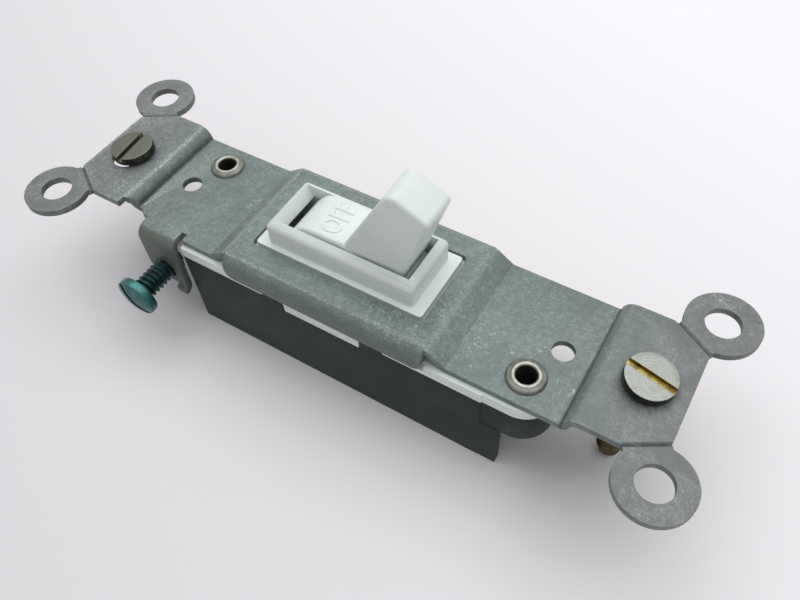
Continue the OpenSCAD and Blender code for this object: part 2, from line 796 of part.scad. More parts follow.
module contact_rocker() {
    color("#b5913f") tipped() {
        slab(-rocker_tail, rocker_nose, -rocker_w / 2, rocker_w / 2, -brass_t / 2, brass_t / 2);
        cross_pin(0, 0, rocker_pin_d, -cradle_out, cradle_out);
    }
}

module moving_contact() {
    color("#d9d9dc") tipped() translate([contact_x, 0, -brass_t / 2 - contact_h])
        cylinder(d = contact_d, h = contact_h);
}

module fixed_contact() {
    color("#d9d9dc") translate([contact_x, 0, strip_top]) cylinder(d = contact_d, h = contact_h);
}

// Riser, bridge and screw plate, for the terminal at +X
module terminal_frame() {
    difference() {
        union() {
            slab(bridge_x0, bridge_x1, chamber_far - brass_t, chamber_far, floor_z, bridge_top);
            slab(bridge_x0, bridge_x1, chamber_far - brass_t, plate_out, bridge_low, bridge_top);
            slab(term_x - plate_w / 2, term_x + plate_w / 2, recess_y, plate_out, plate_low, bridge_top);
        }
        cross_pin(term_x, -term_depth, term_screw_d + 2 * run_gap, recess_y - cut, plate_out + cut);
    }
}

module line_terminal() {
    color("#b5913f") {
        terminal_frame();
        slab(contact_x - contact_d / 2 - contact_seat, bridge_x1, -contact_d / 2 - contact_seat,
             chamber_far, floor_z, strip_top);
    }
}

module load_terminal() {
    color("#b5913f") difference() {
        union() {
            mirror([1, 0, 0]) terminal_frame();
            slab(-bridge_x1, cradle_x, chamber_far - strip_side, chamber_far, floor_z, strip_top);
            slab(-cradle_x, cradle_x, -cradle_out, chamber_far, floor_z, strip_top);
            for (sy = [0, 1]) mirror([0, sy, 0])
                slab(-cradle_x, cradle_x, cradle_in, cradle_out, floor_z, cradle_top);
        }
        cross_pin(0, rocker_z, rocker_pin_d + 2 * run_gap, -cradle_out - cut, cradle_out + cut);
    }
}

// Leaf clip on the chamber's end wall, leaning over the wire hole
module wire_clip() {
    top = floor_z + clip_leaf_h;
    path = [[chamber_x - clip_leaf_t / 2, floor_z], [chamber_x - clip_leaf_t / 2, top],
            [chamber_x - clip_leaf_reach, top - clip_leaf_h / 2]];
    line = rounded_path(path, [clip_leaf_t], bend_steps);
    across(wire_hole_y - clip_leaf_w / 2, wire_hole_y + clip_leaf_w / 2)
        polygon(concat(beside(line, clip_leaf_t / 2), reversed(beside(line, -clip_leaf_t / 2))));
}

module wire_clip_line() {
    color("#aab0b4") wire_clip();
}

module wire_clip_load() {
    color("#aab0b4") mirror([1, 0, 0]) wire_clip();
}

// Screws, drawn with the head's underside at Z = 0 and the head upwards
module slotted(d, h) {
    difference() {
        children();
        translate([0, 0, h - drive_depth / 2 + cut / 2])
            cube([d + lap, drive_w, drive_depth + cut], center = true);
    }
}

module flat_screw(head_d, head_h, d, l) {
    slotted(head_d, head_h) union() {
        cylinder(d = head_d, h = head_h);
        translate([0, 0, -l]) cylinder(d = d, h = l + cut);
    }
}

module box_screw_frame(at, turn) {
    translate(at) rotate([turn.x, turn.y, 0]) rotate(turn.z) children();
}

function tilt_of(turn) = acos(cos(turn.x) * cos(turn.y));
function seat_of(turn) = strap_t / 2 + box_head_d / 2 * tan(tilt_of(turn)) + box_head_gap;

module box_screw(at, turn) {
    box_screw_frame(at, turn) translate([0, 0, seat_of(turn)])
        flat_screw(box_head_d, box_head_h, screw_d, box_screw_l);
}

module mounting_screw_left() {
    color("#b9a64a") box_screw(left_screw_at, left_screw_turn);
}

module mounting_screw_right() {
    color("#b9a64a") box_screw(right_screw_at, right_screw_turn);
}

module retainer(at, turn) {
    box_screw_frame(at, turn) translate([0, 0, -retainer_drop - retainer_t]) difference() {
        cylinder(d = retainer_d, h = retainer_t);
        translate([0, 0, -cut]) cylinder(d = screw_d + run_gap, h = retainer_t + 2 * cut);
    }
}

module screw_retainer_left() {
    color("#c9b58c") retainer(left_screw_at, left_screw_turn);
}

module screw_retainer_right() {
    color("#c9b58c") retainer(right_screw_at, right_screw_turn);
}

module ground_screw() {
    dome_r = (pow(ground_head_d / 2, 2) + pow(ground_dome_h, 2)) / (2 * ground_dome_h);
    color("#255f5a") translate([tab_x, -tab_reach - ground_clear, -ground_depth]) rotate([90, 0, 0])
        rotate(ground_slot_turn) slotted(ground_head_d, ground_rim_h + ground_dome_h) union() {
            cylinder(d = ground_head_d, h = ground_rim_h);
            intersection() {
                translate([0, 0, ground_rim_h + ground_dome_h - dome_r]) sphere(dome_r);
                cylinder(d = ground_head_d, h = ground_rim_h + ground_dome_h);
            }
            translate([0, 0, -ground_clear - ground_tip_l])
                cylinder(d = screw_d, h = ground_clear + ground_tip_l + cut);
        }
}

module terminal_screw() {
    translate([term_x, term_head_y, -term_depth]) rotate([-90, 0, 0])
        flat_screw(term_head_d, term_head_h, term_screw_d, term_shank_l);
}

module terminal_screw_line() {
    color("#b5913f") terminal_screw();
}

module terminal_screw_load() {
    color("#b5913f") mirror([1, 0, 0]) terminal_screw();
}

// Rivet, turned up at both ends
module rivet() {
    foot = -lug_depth - rivet_flange_h;
    lip_edge = rivet_flange_h / 2;
    rotate_extrude() {
        translate([rivet_bore / 2, foot])
            square([(rivet_d - rivet_bore) / 2, lug_depth + 2 * rivet_flange_h]);
        for (z = [0, foot]) {
            translate([rivet_bore / 2, z])
                square([(rivet_flange_d - rivet_bore) / 2 - lip_edge, rivet_flange_h]);
            translate([rivet_flange_d / 2 - lip_edge, z + lip_edge]) circle(lip_edge);
        }
    }
}

module rivet_left() {
    color("#b9b7ab") translate([-rivet_x, rivet_y, 0]) rivet();
}

module rivet_right() {
    color("#b9b7ab") translate([rivet_x, -rivet_y, 0]) rivet();
}

strap();
cover();
base();
toggle();
toggle_spring();
contact_rocker();
moving_contact();
fixed_contact();
line_terminal();
load_terminal();
wire_clip_line();
wire_clip_load();
terminal_screw_line();
terminal_screw_load();
ground_screw();
mounting_screw_left();
mounting_screw_right();
screw_retainer_left();
screw_retainer_right();
rivet_left();
rivet_right();
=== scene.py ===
import logging
import math
from collections.abc import Callable, Sequence
from dataclasses import dataclass
from enum import Enum

import bpy
from mathutils import Matrix, Vector


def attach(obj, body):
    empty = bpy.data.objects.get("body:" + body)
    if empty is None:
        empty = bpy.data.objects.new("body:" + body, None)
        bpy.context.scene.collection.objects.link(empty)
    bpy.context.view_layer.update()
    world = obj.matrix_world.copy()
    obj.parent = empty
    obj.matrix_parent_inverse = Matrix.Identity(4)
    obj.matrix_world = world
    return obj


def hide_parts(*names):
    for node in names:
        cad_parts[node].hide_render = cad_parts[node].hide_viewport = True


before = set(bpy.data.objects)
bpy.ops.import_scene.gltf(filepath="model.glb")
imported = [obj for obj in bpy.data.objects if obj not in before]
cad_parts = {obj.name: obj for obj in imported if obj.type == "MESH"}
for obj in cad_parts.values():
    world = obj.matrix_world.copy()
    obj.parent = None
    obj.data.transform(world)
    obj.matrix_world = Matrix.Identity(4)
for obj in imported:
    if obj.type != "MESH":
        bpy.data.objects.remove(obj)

# Sizes are in millimetres, in the frame of the solids; meshes are in metres.
MM = 0.001
FULL_TURN = 2 * math.pi
QUARTER_TURN = math.pi / 2
# Points closer than this, in metres, are merged.
MERGE = 1e-6
# Faces that meet at less than this, in degrees, are one flat face.
FLAT = 0.4
# How far a cutter reaches past what it cuts.
PAST = 1.0
# Room for small roundings where faces are told apart by their place.
SLACK = 0.02
# Where most of a noise pattern's values lie.
NOISE_SPAN = (0.3, 0.7)

Pair = tuple[float, float]
Triple = tuple[float, float, float]
Colour = tuple[float, float, float, float]
Face = bpy.types.MeshPolygon
Material = bpy.types.Material
Piece = bpy.types.Object
Socket = bpy.types.NodeSocket
Test = Callable[[Vector], bool]

log = logging.getLogger("toggle_switch")


class Body(str, Enum):
    """The moving bodies that pieces ride on."""

    HOUSING = "housing"
    TOGGLE = "toggle"
    GROUND_SCREW = "ground_screw"
    TERMINAL_LINE = "terminal_screw_line"
    TERMINAL_LOAD = "terminal_screw_load"
    BOX_LEFT = "mounting_screw_left"
    BOX_RIGHT = "mounting_screw_right"


class Slot(str, Enum):
    """The record's material slots for the pieces that are modelled here."""

    ZINC = "galvanised_steel"
    WHITE = "white_plastic"
    LEVER = "toggle_plastic"
    DARK = "dark_plastic"
    GREEN = "green_screw"
    BOX_SCREW = "box_screw"
    BRASS = "brass"
    TIN = "rivet_tin"
    FIBRE = "fibre"


def metres(*values: float) -> Vector:
    """Gives a point or a size in metres from millimetres."""
    return Vector(values) * MM


def rounded(points: Sequence[Pair], radii: Sequence[float], steps: int) -> list[Pair]:
    """Rounds the inner corners of a flat path.

    Args:
        points: The path's corners, with both ends.
        radii: Radius of each inner corner.
        steps: Straight pieces along each rounding.

    Returns:
        The path's points with an arc at each inner corner.
    """
    path = [points[0]]
    for before, corner, after, radius in zip(points, points[1:], points[2:], radii):
        here = Vector(corner)
        back = (Vector(before) - here).normalized()
        ahead = (Vector(after) - here).normalized()
        half = back.angle(ahead) / 2
        centre = here + (back + ahead).normalized() * (radius / math.sin(half))
        first = here + back * (radius / math.tan(half)) - centre
        last = here + ahead * (radius / math.tan(half)) - centre
        sweep = math.pi - 2 * half
        for i in range(steps + 1):
            s = sweep * i / steps
            spot = centre + (first * math.sin(sweep - s) + last * math.sin(s)) / math.sin(sweep)
            path.append((spot.x, spot.y))
    path.append(points[-1])
    return path


class NodeTree:
    """The nodes of a material or a world, with short calls to add and link them."""

    def __init__(self, owner: Material | bpy.types.World) -> None:
        """Turns on the owner's nodes."""
        owner.use_nodes = True
        self.tree = owner.node_tree

    def feed(self, socket: Socket, value: object) -> None:
        """Links a socket to another, or sets its own value."""
        if isinstance(value, Socket):
            self.tree.links.new(value, socket)
        else:
            socket.default_value = value

    def add(self, kind: str, inputs: dict[str, object] | None = None, **settings: object) -> bpy.types.Node:
        """Adds a node.

        Args:
            kind: The node's type.
            inputs: Sockets or constants for its inputs, by name.
            **settings: The node's own settings.

        Returns:
            The new node.
        """
        node = self.tree.nodes.new(kind)
        for name, value in settings.items():
            setattr(node, name, value)
        for name, value in (inputs or {}).items():
            self.feed(node.inputs[name], value)
        return node

    def calc(self, operation: str, *values: object) -> Socket:
        """Puts values through a Math node.

        Args:
            operation: The node's operation.
            *values: Sockets or constants, in the order of its inputs.

        Returns:
            The result.
        """
        node = self.add("ShaderNodeMath", operation=operation)
        for socket, value in zip(node.inputs, values):
            self.feed(socket, value)
        return node.outputs[0]

    def times(self, first: Socket, second: Socket) -> Socket:
        """Multiplies two values."""
        return self.calc("MULTIPLY", first, second)

    def most(self, first: Socket, second: Socket) -> Socket:
        """Gives the larger of two values."""
        return self.calc("MAXIMUM", first, second)


class Shader(NodeTree):
    """A material on Object coordinates in millimetres, with short calls for its patterns."""

    def __init__(self, name: str) -> None:
        """Starts the material.

        Args:
            name: The material's name.
        """
        self.material = bpy.data.materials.new(name)
        super().__init__(self.material)
        self.surface = self.tree.nodes["Principled BSDF"]
        place = self.add("ShaderNodeTexCoord").outputs["Object"]
        self.place = self.mapped(place, scale=(1 / MM, 1 / MM, 1 / MM))

    def mapped(self, place: Socket, at: Triple = (0, 0, 0), turn: Triple = (0, 0, 0),
               scale: Triple = (1, 1, 1), kind: str = "POINT") -> Socket:
        """Moves, turns or scales coordinates.

        Args:
            place: The coordinates.
            at: The shift.
            turn: The turn, in radians.
            scale: The scale.
            kind: The Mapping node's vector type.

        Returns:
            The mapped coordinates.
        """
        inputs = {"Vector": place, "Location": at, "Rotation": turn, "Scale": scale}
        return self.add("ShaderNodeMapping", inputs, vector_type=kind).outputs["Vector"]

    def noise(self, scale: float, detail: float, place: Socket | None = None,
              distortion: float = 0) -> Socket:
        """Adds a noise pattern.

        Args:
            scale: Patches to the millimetre.
            detail: Octaves.
            place: Coordinates, or the piece's own.
            distortion: How far the patches are pulled about.

        Returns:
            The pattern, around 0.5.
        """
        inputs = {"Vector": place or self.place, "Scale": scale, "Detail": detail, "Distortion": distortion}
        return self.add("ShaderNodeTexNoise", inputs).outputs["Fac"]

    def stretch(self, value: Socket, low: float, high: float, to_low: float = 0,
                to_high: float = 1) -> Socket:
        """Maps a value from one range to another, and clamps it there.

        Args:
            value: The value.
            low: Start of its range.
            high: End of its range.
            to_low: Result at the start.
            to_high: Result at the end.

        Returns:
            The mapped value.
        """
        inputs = {"Value": value, "From Min": low, "From Max": high, "To Min": to_low, "To Max": to_high}
        return self.add("ShaderNodeMapRange", inputs, clamp=True).outputs["Result"]

    def mix(self, share: Socket, first: object, second: object) -> Socket:
        """Mixes two colours.

        Args:
            share: How much of the second colour shows.
            first: Colour at 0.
            second: Colour at 1.

        Returns:
            The mixed colour.
        """
        inputs = {"Fac": share, "Color1": first, "Color2": second}
        return self.add("ShaderNodeMixRGB", inputs).outputs["Color"]

    def along(self, way: Triple, place: Socket | None = None) -> Socket:
        """Measures in millimetres along a direction.

        Args:
            way: The direction.
            place: Coordinates, or the piece's own.

        Returns:
            The distance from the origin.
        """
        node = self.add("ShaderNodeVectorMath", operation="DOT_PRODUCT")
        self.feed(node.inputs[0], place or self.place)
        self.feed(node.inputs[1], way)
        return node.outputs["Value"]

    def mirrored(self) -> Socket:
        """Gives coordinates that are the same in all four quarters of the strap."""
        node = self.add("ShaderNodeVectorMath", {"Vector": self.place}, operation="ABSOLUTE")
        return node.outputs["Vector"]

    def line(self, place: Socket, way: Triple, at: float, half: float, core: float = 0.25) -> Socket:
        """Marks a straight line across the surface.

        Args:
            place: The coordinates.
            way: The direction across the line.
            at: How far out it lies along that direction.
            half: Half of its width, at which it has faded out.
            core: Share of that half at which it starts to fade.

        Returns:
            1 on the line and 0 beside it.
        """
        off = self.calc("ABSOLUTE", self.calc("SUBTRACT", self.along(way, place), at))
        return self.stretch(off, core * half, half, 1, 0)

    def crest(self, flat: Pair, steep: Pair) -> Socket:
        """Marks where the surface starts to fall, as on a bend's crest.

        Args:
            flat: The normal's height where the crest starts to fade into the flat, and where it has faded.
            steep: The normal's height where a slope has no crest, and where the crest is full.

        Returns:
            1 on a crest, and 0 on the flat and on slopes.
        """
        normal = self.add("ShaderNodeNewGeometry").outputs["Normal"]
        height = self.add("ShaderNodeSeparateXYZ", {"Vector": normal}).outputs["Z"]
        return self.times(self.stretch(height, *flat, 1, 0), self.stretch(height, *steep))

    def emboss(self, height: Socket, depth: float, strength: float) -> None:
        """Raises the surface by a pattern.

        Args:
            height: The pattern.
            depth: Its depth in millimetres.
            strength: Its strength.
        """
        inputs = {"Height": height, "Distance": depth * MM, "Strength": strength}
        self.feed(self.surface.inputs["Normal"], self.add("ShaderNodeBump", inputs).outputs["Normal"])

    def set(self, **values: object) -> None:
        """Sets the surface's sockets, with underscores for the blanks in their names."""
        for name, value in values.items():
            self.feed(self.surface.inputs[name.replace("_", " ")], value)


@dataclass(frozen=True)
class Mottle:
    """A noise pattern whose values are stretched from a span to a result."""

    scale: float
    detail: float
    span: Pair
    result: Pair = (0, 1)
    distortion: float = 0

    def on(self, shader: Shader) -> Socket:
        """Adds the pattern to a material."""
        pattern = shader.noise(self.scale, self.detail, distortion=self.distortion)
        return shader.stretch(pattern, *self.span, *self.result)


@dataclass(frozen=True)
class ZincSheet:
    """Galvanised sheet: dull grey with a fine mottle and scuffs, with painted shade in its creases and score
    lines, painted highlights on its bends and painted shade with tarnish on its grounding tab.
    """

    name: str = "zinc_sheet"
    dull: Colour = (0.12, 0.153, 0.145, 1)
    pale: Colour = (0.32, 0.392, 0.372, 1)
    end_dull: Colour = (0.125, 0.133, 0.133, 1)
    end_pale: Colour = (0.345, 0.358, 0.354, 1)
    speck: Colour = (0.07, 0.085, 0.082, 1)
    # Colour of the real scuffs and of the painted highlight on the bends' crests.
    scuff_and_highlight: Colour = (0.46, 0.5, 0.485, 1)
    # Painted shade in the creases at the steps' feet and along the ears' score lines.
    groove_shade: Colour = (0.03, 0.037, 0.035, 1)
    # Painted shade with brown tarnish on the grounding tab.
    tab_shade_and_tarnish: Colour = (0.1, 0.108, 0.088, 1)
    cloud: Mottle = Mottle(0.16, 5, (0.3, 0.7), (0.25, 1), 0.6)
    bloom: Mottle = Mottle(3.4, 6, (0.32, 0.68))
    flakes: Mottle = Mottle(1.2, 6, (0.36, 0.64), (0.35, 1), 0.4)
    specks: Mottle = Mottle(4.2, 2, (0.62, 0.72), (0, 0.35))
    grains: Mottle = Mottle(4.5, 3, (0.46, 0.6), (0.1, 1))
    scuffs: Mottle = Mottle(1.7, 4, (0.6, 0.68), (0, 1), 1)
    scuffed: Mottle = Mottle(0.13, 2, (0.54, 0.62), (0, 0.7))
    # Patchiness of the painted shade in the creases and score lines.
    groove_shade_mottle: Mottle = Mottle(1.1, 3, (0.25, 0.6), (0.3, 0.65))
    ends_at: Pair = (26, 48)
    tab_at: Pair = (9.6, 11.2)
    tab_bend: Pair = (9.1, 10)
    tab_right: Pair = (22, 25)
    tab_left: Pair = (31.7, 32.2)
    tab_share: Pair = (0.55, 0.75)
    crest_flat: Pair = (0.94, 0.99)
    crest_steep: Pair = (0.83, 0.9)
    # Where the painted highlight on the crests grows from right to left, and how strong it gets.
    crest_highlight_at: Pair = (-30, 25)
    crest_highlight_share: Pair = (0.15, 0.75)
    crease: Pair = (33.95, 0.35)
    score_way: Triple = (0.51354, 0.85806, 0)
    score: Pair = (29.154, 0.2)
    roughness: Pair = (0.48, 0.66)
    metallic: float = 0.3
    skin_noise: Pair = (4.5, 3)
    skin_bump: Pair = (0.02, 0.3)

    def material(self) -> Material:
        """Builds the material.

        Returns:
            The sheet's material.
        """
        shader = Shader(self.name)
        quarter = shader.mirrored()
        out = shader.add("ShaderNodeSeparateXYZ", {"Vector": quarter}).outputs["X"]
        left, near = shader.along((-1, 0, 0)), shader.along((0, -1, 0))
        ends = shader.stretch(out, *self.ends_at)
        cloud, bloom = self.cloud.on(shader), self.bloom.on(shader)
        dull = shader.mix(ends, self.dull, self.end_dull)
        pale = shader.mix(ends, self.pale, self.end_pale)
        ground = shader.mix(shader.times(shader.times(cloud, bloom), self.flakes.on(shader)), dull, pale)
        ground = shader.mix(self.specks.on(shader), ground, self.speck)

        # Painted highlight on the bends' crests, stronger towards the left, mixed with real scuffs of wear.
        crests = shader.crest(self.crest_flat, self.crest_steep)
        crest_highlight = shader.times(crests, shader.stretch(left, *self.crest_highlight_at, *self.crest_highlight_share))
        scuffs = shader.times(self.scuffs.on(shader), self.scuffed.on(shader))
        bright = shader.most(scuffs, shader.times(self.grains.on(shader), crest_highlight))
        ground = shader.mix(bright, ground, self.scuff_and_highlight)

        # The grounding tab, bent down past the near edge, gets painted shade mixed with brown tarnish.
        lowered = shader.times(shader.stretch(near, *self.tab_at), shader.stretch(out, *self.ends_at, 1, 0))
        beside = shader.times(shader.stretch(left, *self.tab_right),
                              shader.stretch(left, *self.tab_left, 1, 0))
        tab = shader.most(lowered, shader.times(beside, shader.stretch(near, *self.tab_bend)))
        stain = shader.times(tab, shader.stretch(cloud, 0, 1, *self.tab_share))
        ground = shader.mix(stain, ground, self.tab_shade_and_tarnish)

        # Painted shade along the score lines and in the steps' creases, made patchy by a mottle.
        score = shader.line(quarter, self.score_way, *self.score)
        crease = shader.line(quarter, (1, 0, 0), *self.crease)
        groove_shade_mask = shader.times(shader.most(score, crease), self.groove_shade_mottle.on(shader))
        shader.set(Base_Color=shader.mix(groove_shade_mask, ground, self.groove_shade), Metallic=self.metallic,
                   Roughness=shader.stretch(bloom, 0, 1, *self.roughness))
        shader.emboss(shader.noise(*self.skin_noise), *self.skin_bump)
        return shader.material


@dataclass(frozen=True)
class MouldedPlastic:
    """Moulded plastic with a faint cloudiness and a fine skin."""

    name: str
    colour: Colour
    shade: Colour
    roughness: Pair
    grain: float = 2.5
    grain_depth: float = 0.01
    shine: float = 0.45
    grain_detail: float = 4
    grain_strength: float = 0.35
    cloud: Mottle = Mottle(0.22, 4, (0.35, 0.68))

    def material(self) -> Material:
        """Builds the material.

        Returns:
            The plastic's material.
        """
        shader = Shader(self.name)
        skin = shader.noise(self.grain, self.grain_detail)
        shader.set(Base_Color=shader.mix(self.cloud.on(shader), self.colour, self.shade),
                   Roughness=shader.stretch(skin, *NOISE_SPAN, *self.roughness),
                   Specular_IOR_Level=self.shine)
        shader.emboss(skin, self.grain_depth, self.grain_strength)
        return shader.material


@dataclass(frozen=True)
class PlatedMetal:
    """Plated or bare metal with tarnish in patches."""

    name: str
    colour: Colour
    tarnish: Colour
    roughness: Pair
    patch: float = 0.9
    metallic: float = 1
    patch_detail: float = 5
    patch_span: Pair = (0.4, 0.68)
    scratch_noise: Pair = (6, 3)
    scratch_bump: Pair = (0.012, 0.4)

    def material(self) -> Material:
        """Builds the material.

        Returns:
            The metal's material.
        """
        shader = Shader(self.name)
        patches = Mottle(self.patch, self.patch_detail, self.patch_span).on(shader)
        scratches = shader.noise(*self.scratch_noise)
        shader.set(Base_Color=shader.mix(patches, self.colour, self.tarnish), Metallic=self.metallic,
                   Roughness=shader.stretch(scratches, *NOISE_SPAN, *self.roughness))
        shader.emboss(scratches, *self.scratch_bump)
        return shader.material


@dataclass(frozen=True)
class TurnedFace:
    """A screw head's top: worn bright, with the rings of its turning."""

    name: str
    at: Triple
    turn: Triple
    worn: Colour
    ring: Colour
    stain: Colour
    ring_scale: float = 0.75
    ring_distortion: float = 1.6
    ring_detail: float = 3
    ring_span: Pair = (0.25, 1)
    ring_share: Pair = (0, 0.4)
    ring_bump: Pair = (0.02, 0.25)
    patches: Mottle = Mottle(0.8, 4, (0.5, 0.72), (0, 0.6))
    roughness: Mottle = Mottle(3, 3, NOISE_SPAN, (0.36, 0.52))
    metallic: float = 0.7

    def material(self) -> Material:
        """Builds the material.

        Returns:
            The face's material.
        """
        shader = Shader(self.name)
        centred = shader.mapped(shader.place, self.at, self.turn, kind="TEXTURE")
        inputs = {"Vector": centred, "Scale": self.ring_scale, "Distortion": self.ring_distortion,
                  "Detail": self.ring_detail}
        wave = shader.add("ShaderNodeTexWave", inputs, wave_type="RINGS", rings_direction="Z")
        rings = wave.outputs["Fac"]
        face = shader.mix(shader.stretch(rings, *self.ring_span, *self.ring_share), self.worn, self.ring)
        shader.set(Base_Color=shader.mix(self.patches.on(shader), face, self.stain), Metallic=self.metallic,
                   Roughness=self.roughness.on(shader))
        shader.emboss(rings, *self.ring_bump)
        return shader.material


@dataclass(frozen=True)
class PressedFibre:
    """Pressed fibre board, matte and flecked."""

    name: str = "pressed_fibre"
    colour: Colour = (0.42, 0.31, 0.17, 1)
    fleck: Colour = (0.24, 0.17, 0.09, 1)
    fleck_scale: Triple = (1, 4, 4)
    fleck_noise: Pair = (1.2, 5)
    fleck_span: Pair = (0.4, 0.65)
    fleck_bump: Pair = (0.03, 0.5)
    roughness: float = 0.8

    def material(self) -> Material:
        """Builds the material.

        Returns:
            The fibre's material.
        """
        shader = Shader(self.name)
        flecks = shader.noise(*self.fleck_noise, shader.mapped(shader.place, scale=self.fleck_scale))
        share = shader.stretch(flecks, *self.fleck_span)
        shader.set(Base_Color=shader.mix(share, self.colour, self.fleck), Roughness=self.roughness)
        shader.emboss(flecks, *self.fleck_bump)
        return shader.material


@dataclass(frozen=True)
class Rounding:
    """How edges are rounded: width, faces across it, and the angle in degrees that makes an edge sharp."""

    width: float
    segments: int
    angle: float


def mode(name: str) -> None:
    """Switches to object mode or to edit mode."""
    bpy.ops.object.mode_set(mode=name)


def clear() -> None:
    """Leaves edit mode and deselects everything."""
    if bpy.context.mode != "OBJECT":
        mode("OBJECT")
    bpy.ops.object.select_all(action="DESELECT")


def pick(piece: Piece) -> None:
    """Makes a piece the only selected one, and active."""
    clear()
    piece.select_set(True)
    bpy.context.view_layer.objects.active = piece


def named(name: str) -> Piece:
    """Names the active object and its mesh."""
    piece = bpy.context.active_object
    piece.name = name
    piece.data.name = name
    return piece


def twin(piece: Piece, name: str) -> Piece:
    """Copies a piece with a mesh of its own."""
    copy = bpy.data.objects.new(name, piece.data.copy())
    copy.data.name = name
    bpy.context.scene.collection.objects.link(copy)
    return copy


def copy_node(node: str, name: str) -> Piece:
    """Copies a solid's mesh, with its triangles merged into faces.

    Args:
        node: The solid's name.
        name: The copy's name.

    Returns:
        The copy.
    """
    piece = twin(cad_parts[node], name)
    open_edit(piece)
    bpy.ops.mesh.remove_doubles(threshold=MERGE)
    bpy.ops.mesh.dissolve_limited(angle_limit=math.radians(FLAT))
    mode("OBJECT")
    return piece


def path(name: str, points: Sequence[Triple]) -> Piece:
    """Draws a chain of edges from a single point, and stays in edit mode.

    Args:
        name: The new object's name.
        points: The chain's points in millimetres.

    Returns:
        The new object, with all its points selected.
    """
    clear()
    bpy.ops.mesh.primitive_plane_add(size=MM)
    piece = named(name)
    mode("EDIT")
    bpy.ops.mesh.merge(type="CENTER")
    bpy.ops.transform.translate(value=metres(*points[0]))
    for before, after in zip(points, points[1:]):
        step = (Vector(after) - Vector(before)) * MM
        bpy.ops.mesh.extrude_vertices_move(TRANSFORM_OT_translate={"value": step})
    bpy.ops.mesh.select_all(action="SELECT")
    return piece


def prism(name: str, outline: Sequence[Pair], half: float) -> Piece:
    """Extrudes an outline in the X-Z plane along Y.

    Args:
        name: The new object's name.
        outline: The outline's corners.
        half: How far it reaches to both sides.

    Returns:
        The closed solid.
    """
    corners = [(x, -half, z) for x, z in outline]
    piece = path(name, corners + corners[:1])
    bpy.ops.mesh.remove_doubles(threshold=MERGE)
    bpy.ops.mesh.edge_face_add()
    bpy.ops.mesh.extrude_region_move(TRANSFORM_OT_translate={"value": metres(0, 2 * half, 0)})
    close_edit()
    return piece


def lathe(name: str, profile: Sequence[Pair], steps: int = 48) -> Piece:
    """Spins a profile round Z.

    Args:
        name: The new object's name.
        profile: Radius and height of the profile's points.
        steps: Pieces round the turn.

    Returns:
        The turned solid.
    """
    piece = path(name, [(r, 0, z) for r, z in profile])
    bpy.ops.mesh.spin(steps=steps, angle=FULL_TURN, center=(0, 0, 0), axis=(0, 0, 1))
    close_edit()
    return piece


def open_edit(piece: Piece) -> None:
    """Opens edit mode with all points selected."""
    pick(piece)
    mode("EDIT")
    bpy.ops.mesh.select_all(action="SELECT")


def close_edit() -> None:
    """Merges doubles, points the faces outwards and leaves edit mode."""
    bpy.ops.mesh.select_all(action="SELECT")
    bpy.ops.mesh.remove_doubles(threshold=MERGE)
    bpy.ops.mesh.normals_make_consistent(inside=False)
    mode("OBJECT")


def select_points(piece: Piece, test: Test) -> None:
    """Opens edit mode with the points selected that pass a test of their place in millimetres."""
    pick(piece)
    mode("EDIT")
    bpy.ops.mesh.select_mode(type="VERT")
    bpy.ops.mesh.select_all(action="DESELECT")
    mode("OBJECT")
    for point in piece.data.vertices:
        point.select = test(point.co / MM)
    mode("EDIT")


def slice_off(at: Vector, way: Triple) -> None:
    """Cuts the mesh in edit mode by a plane, drops what lies beyond it and closes the cut.

    Args:
        at: A point of the plane, in metres.
        way: The direction towards what is dropped.
    """
    bpy.ops.mesh.select_all(action="SELECT")
    bpy.ops.mesh.bisect(plane_co=at, plane_no=way, use_fill=True, clear_outer=True)


def apply(piece: Piece, kind: str, **settings: object) -> None:
    """Adds a modifier and applies it.

    Args:
        piece: The piece.
        kind: The modifier's type.
        **settings: Its settings.
    """
    pick(piece)
    modifier = piece.modifiers.new(kind.title(), kind)
    for name, value in settings.items():
        setattr(modifier, name, value)
    bpy.ops.object.modifier_apply(modifier=modifier.name)


def collapse(piece: Piece, length: float, test: Test) -> None:
    """Collapses a piece's edges that are too short to be rounded.

    Args:
        piece: The piece.
        length: Edges shorter than this, in millimetres, are collapsed.
        test: Tells by their place in millimetres which points take part.
    """
    select_points(piece, test)
    bpy.ops.mesh.dissolve_degenerate(threshold=length * MM)
    mode("OBJECT")


def soften(piece: Piece, edge: Rounding) -> None:
    """Rounds a piece's sharp edges."""
    apply(piece, "BEVEL", width=edge.width * MM, segments=edge.segments, limit_method="ANGLE",
                angle_limit=math.radians(edge.angle), use_clamp_overlap=True, miter_outer="MITER_ARC")


def cut(piece: Piece, cutter: Piece) -> None:
    """Takes a cutter's solid out of a piece, and deletes the cutter."""
    apply(piece, "BOOLEAN", operation="DIFFERENCE", solver="EXACT", object=cutter)
    bpy.data.objects.remove(cutter)


def join(name: str, *pieces: Piece) -> Piece:
    """Makes one piece of several.

    Args:
        name: The new piece's name.
        *pieces: The pieces, of which the first stays.

    Returns:
        The joined piece.
    """
    pick(pieces[0])
    for piece in pieces[1:]:
        piece.select_set(True)
    bpy.ops.object.join()
    return named(name)


def move(piece: Piece, place: Matrix) -> None:
    """Puts a piece in its place, in its mesh."""
    pick(piece)
    piece.matrix_world = place
    bpy.ops.object.transform_apply(location=True, rotation=True, scale=True)


def paint(piece: Piece, *materials: Material) -> None:
    """Gives a piece its materials, with the first one all over."""
    piece.data.materials.clear()
    for material in materials:
        piece.data.materials.append(material)


def paint_faces(piece: Piece, slot: int, test: Callable[[Face], bool]) -> None:
    """Gives the faces that pass a test another of the piece's materials."""
    for face in piece.data.polygons:
        if test(face):
            face.material_index = slot


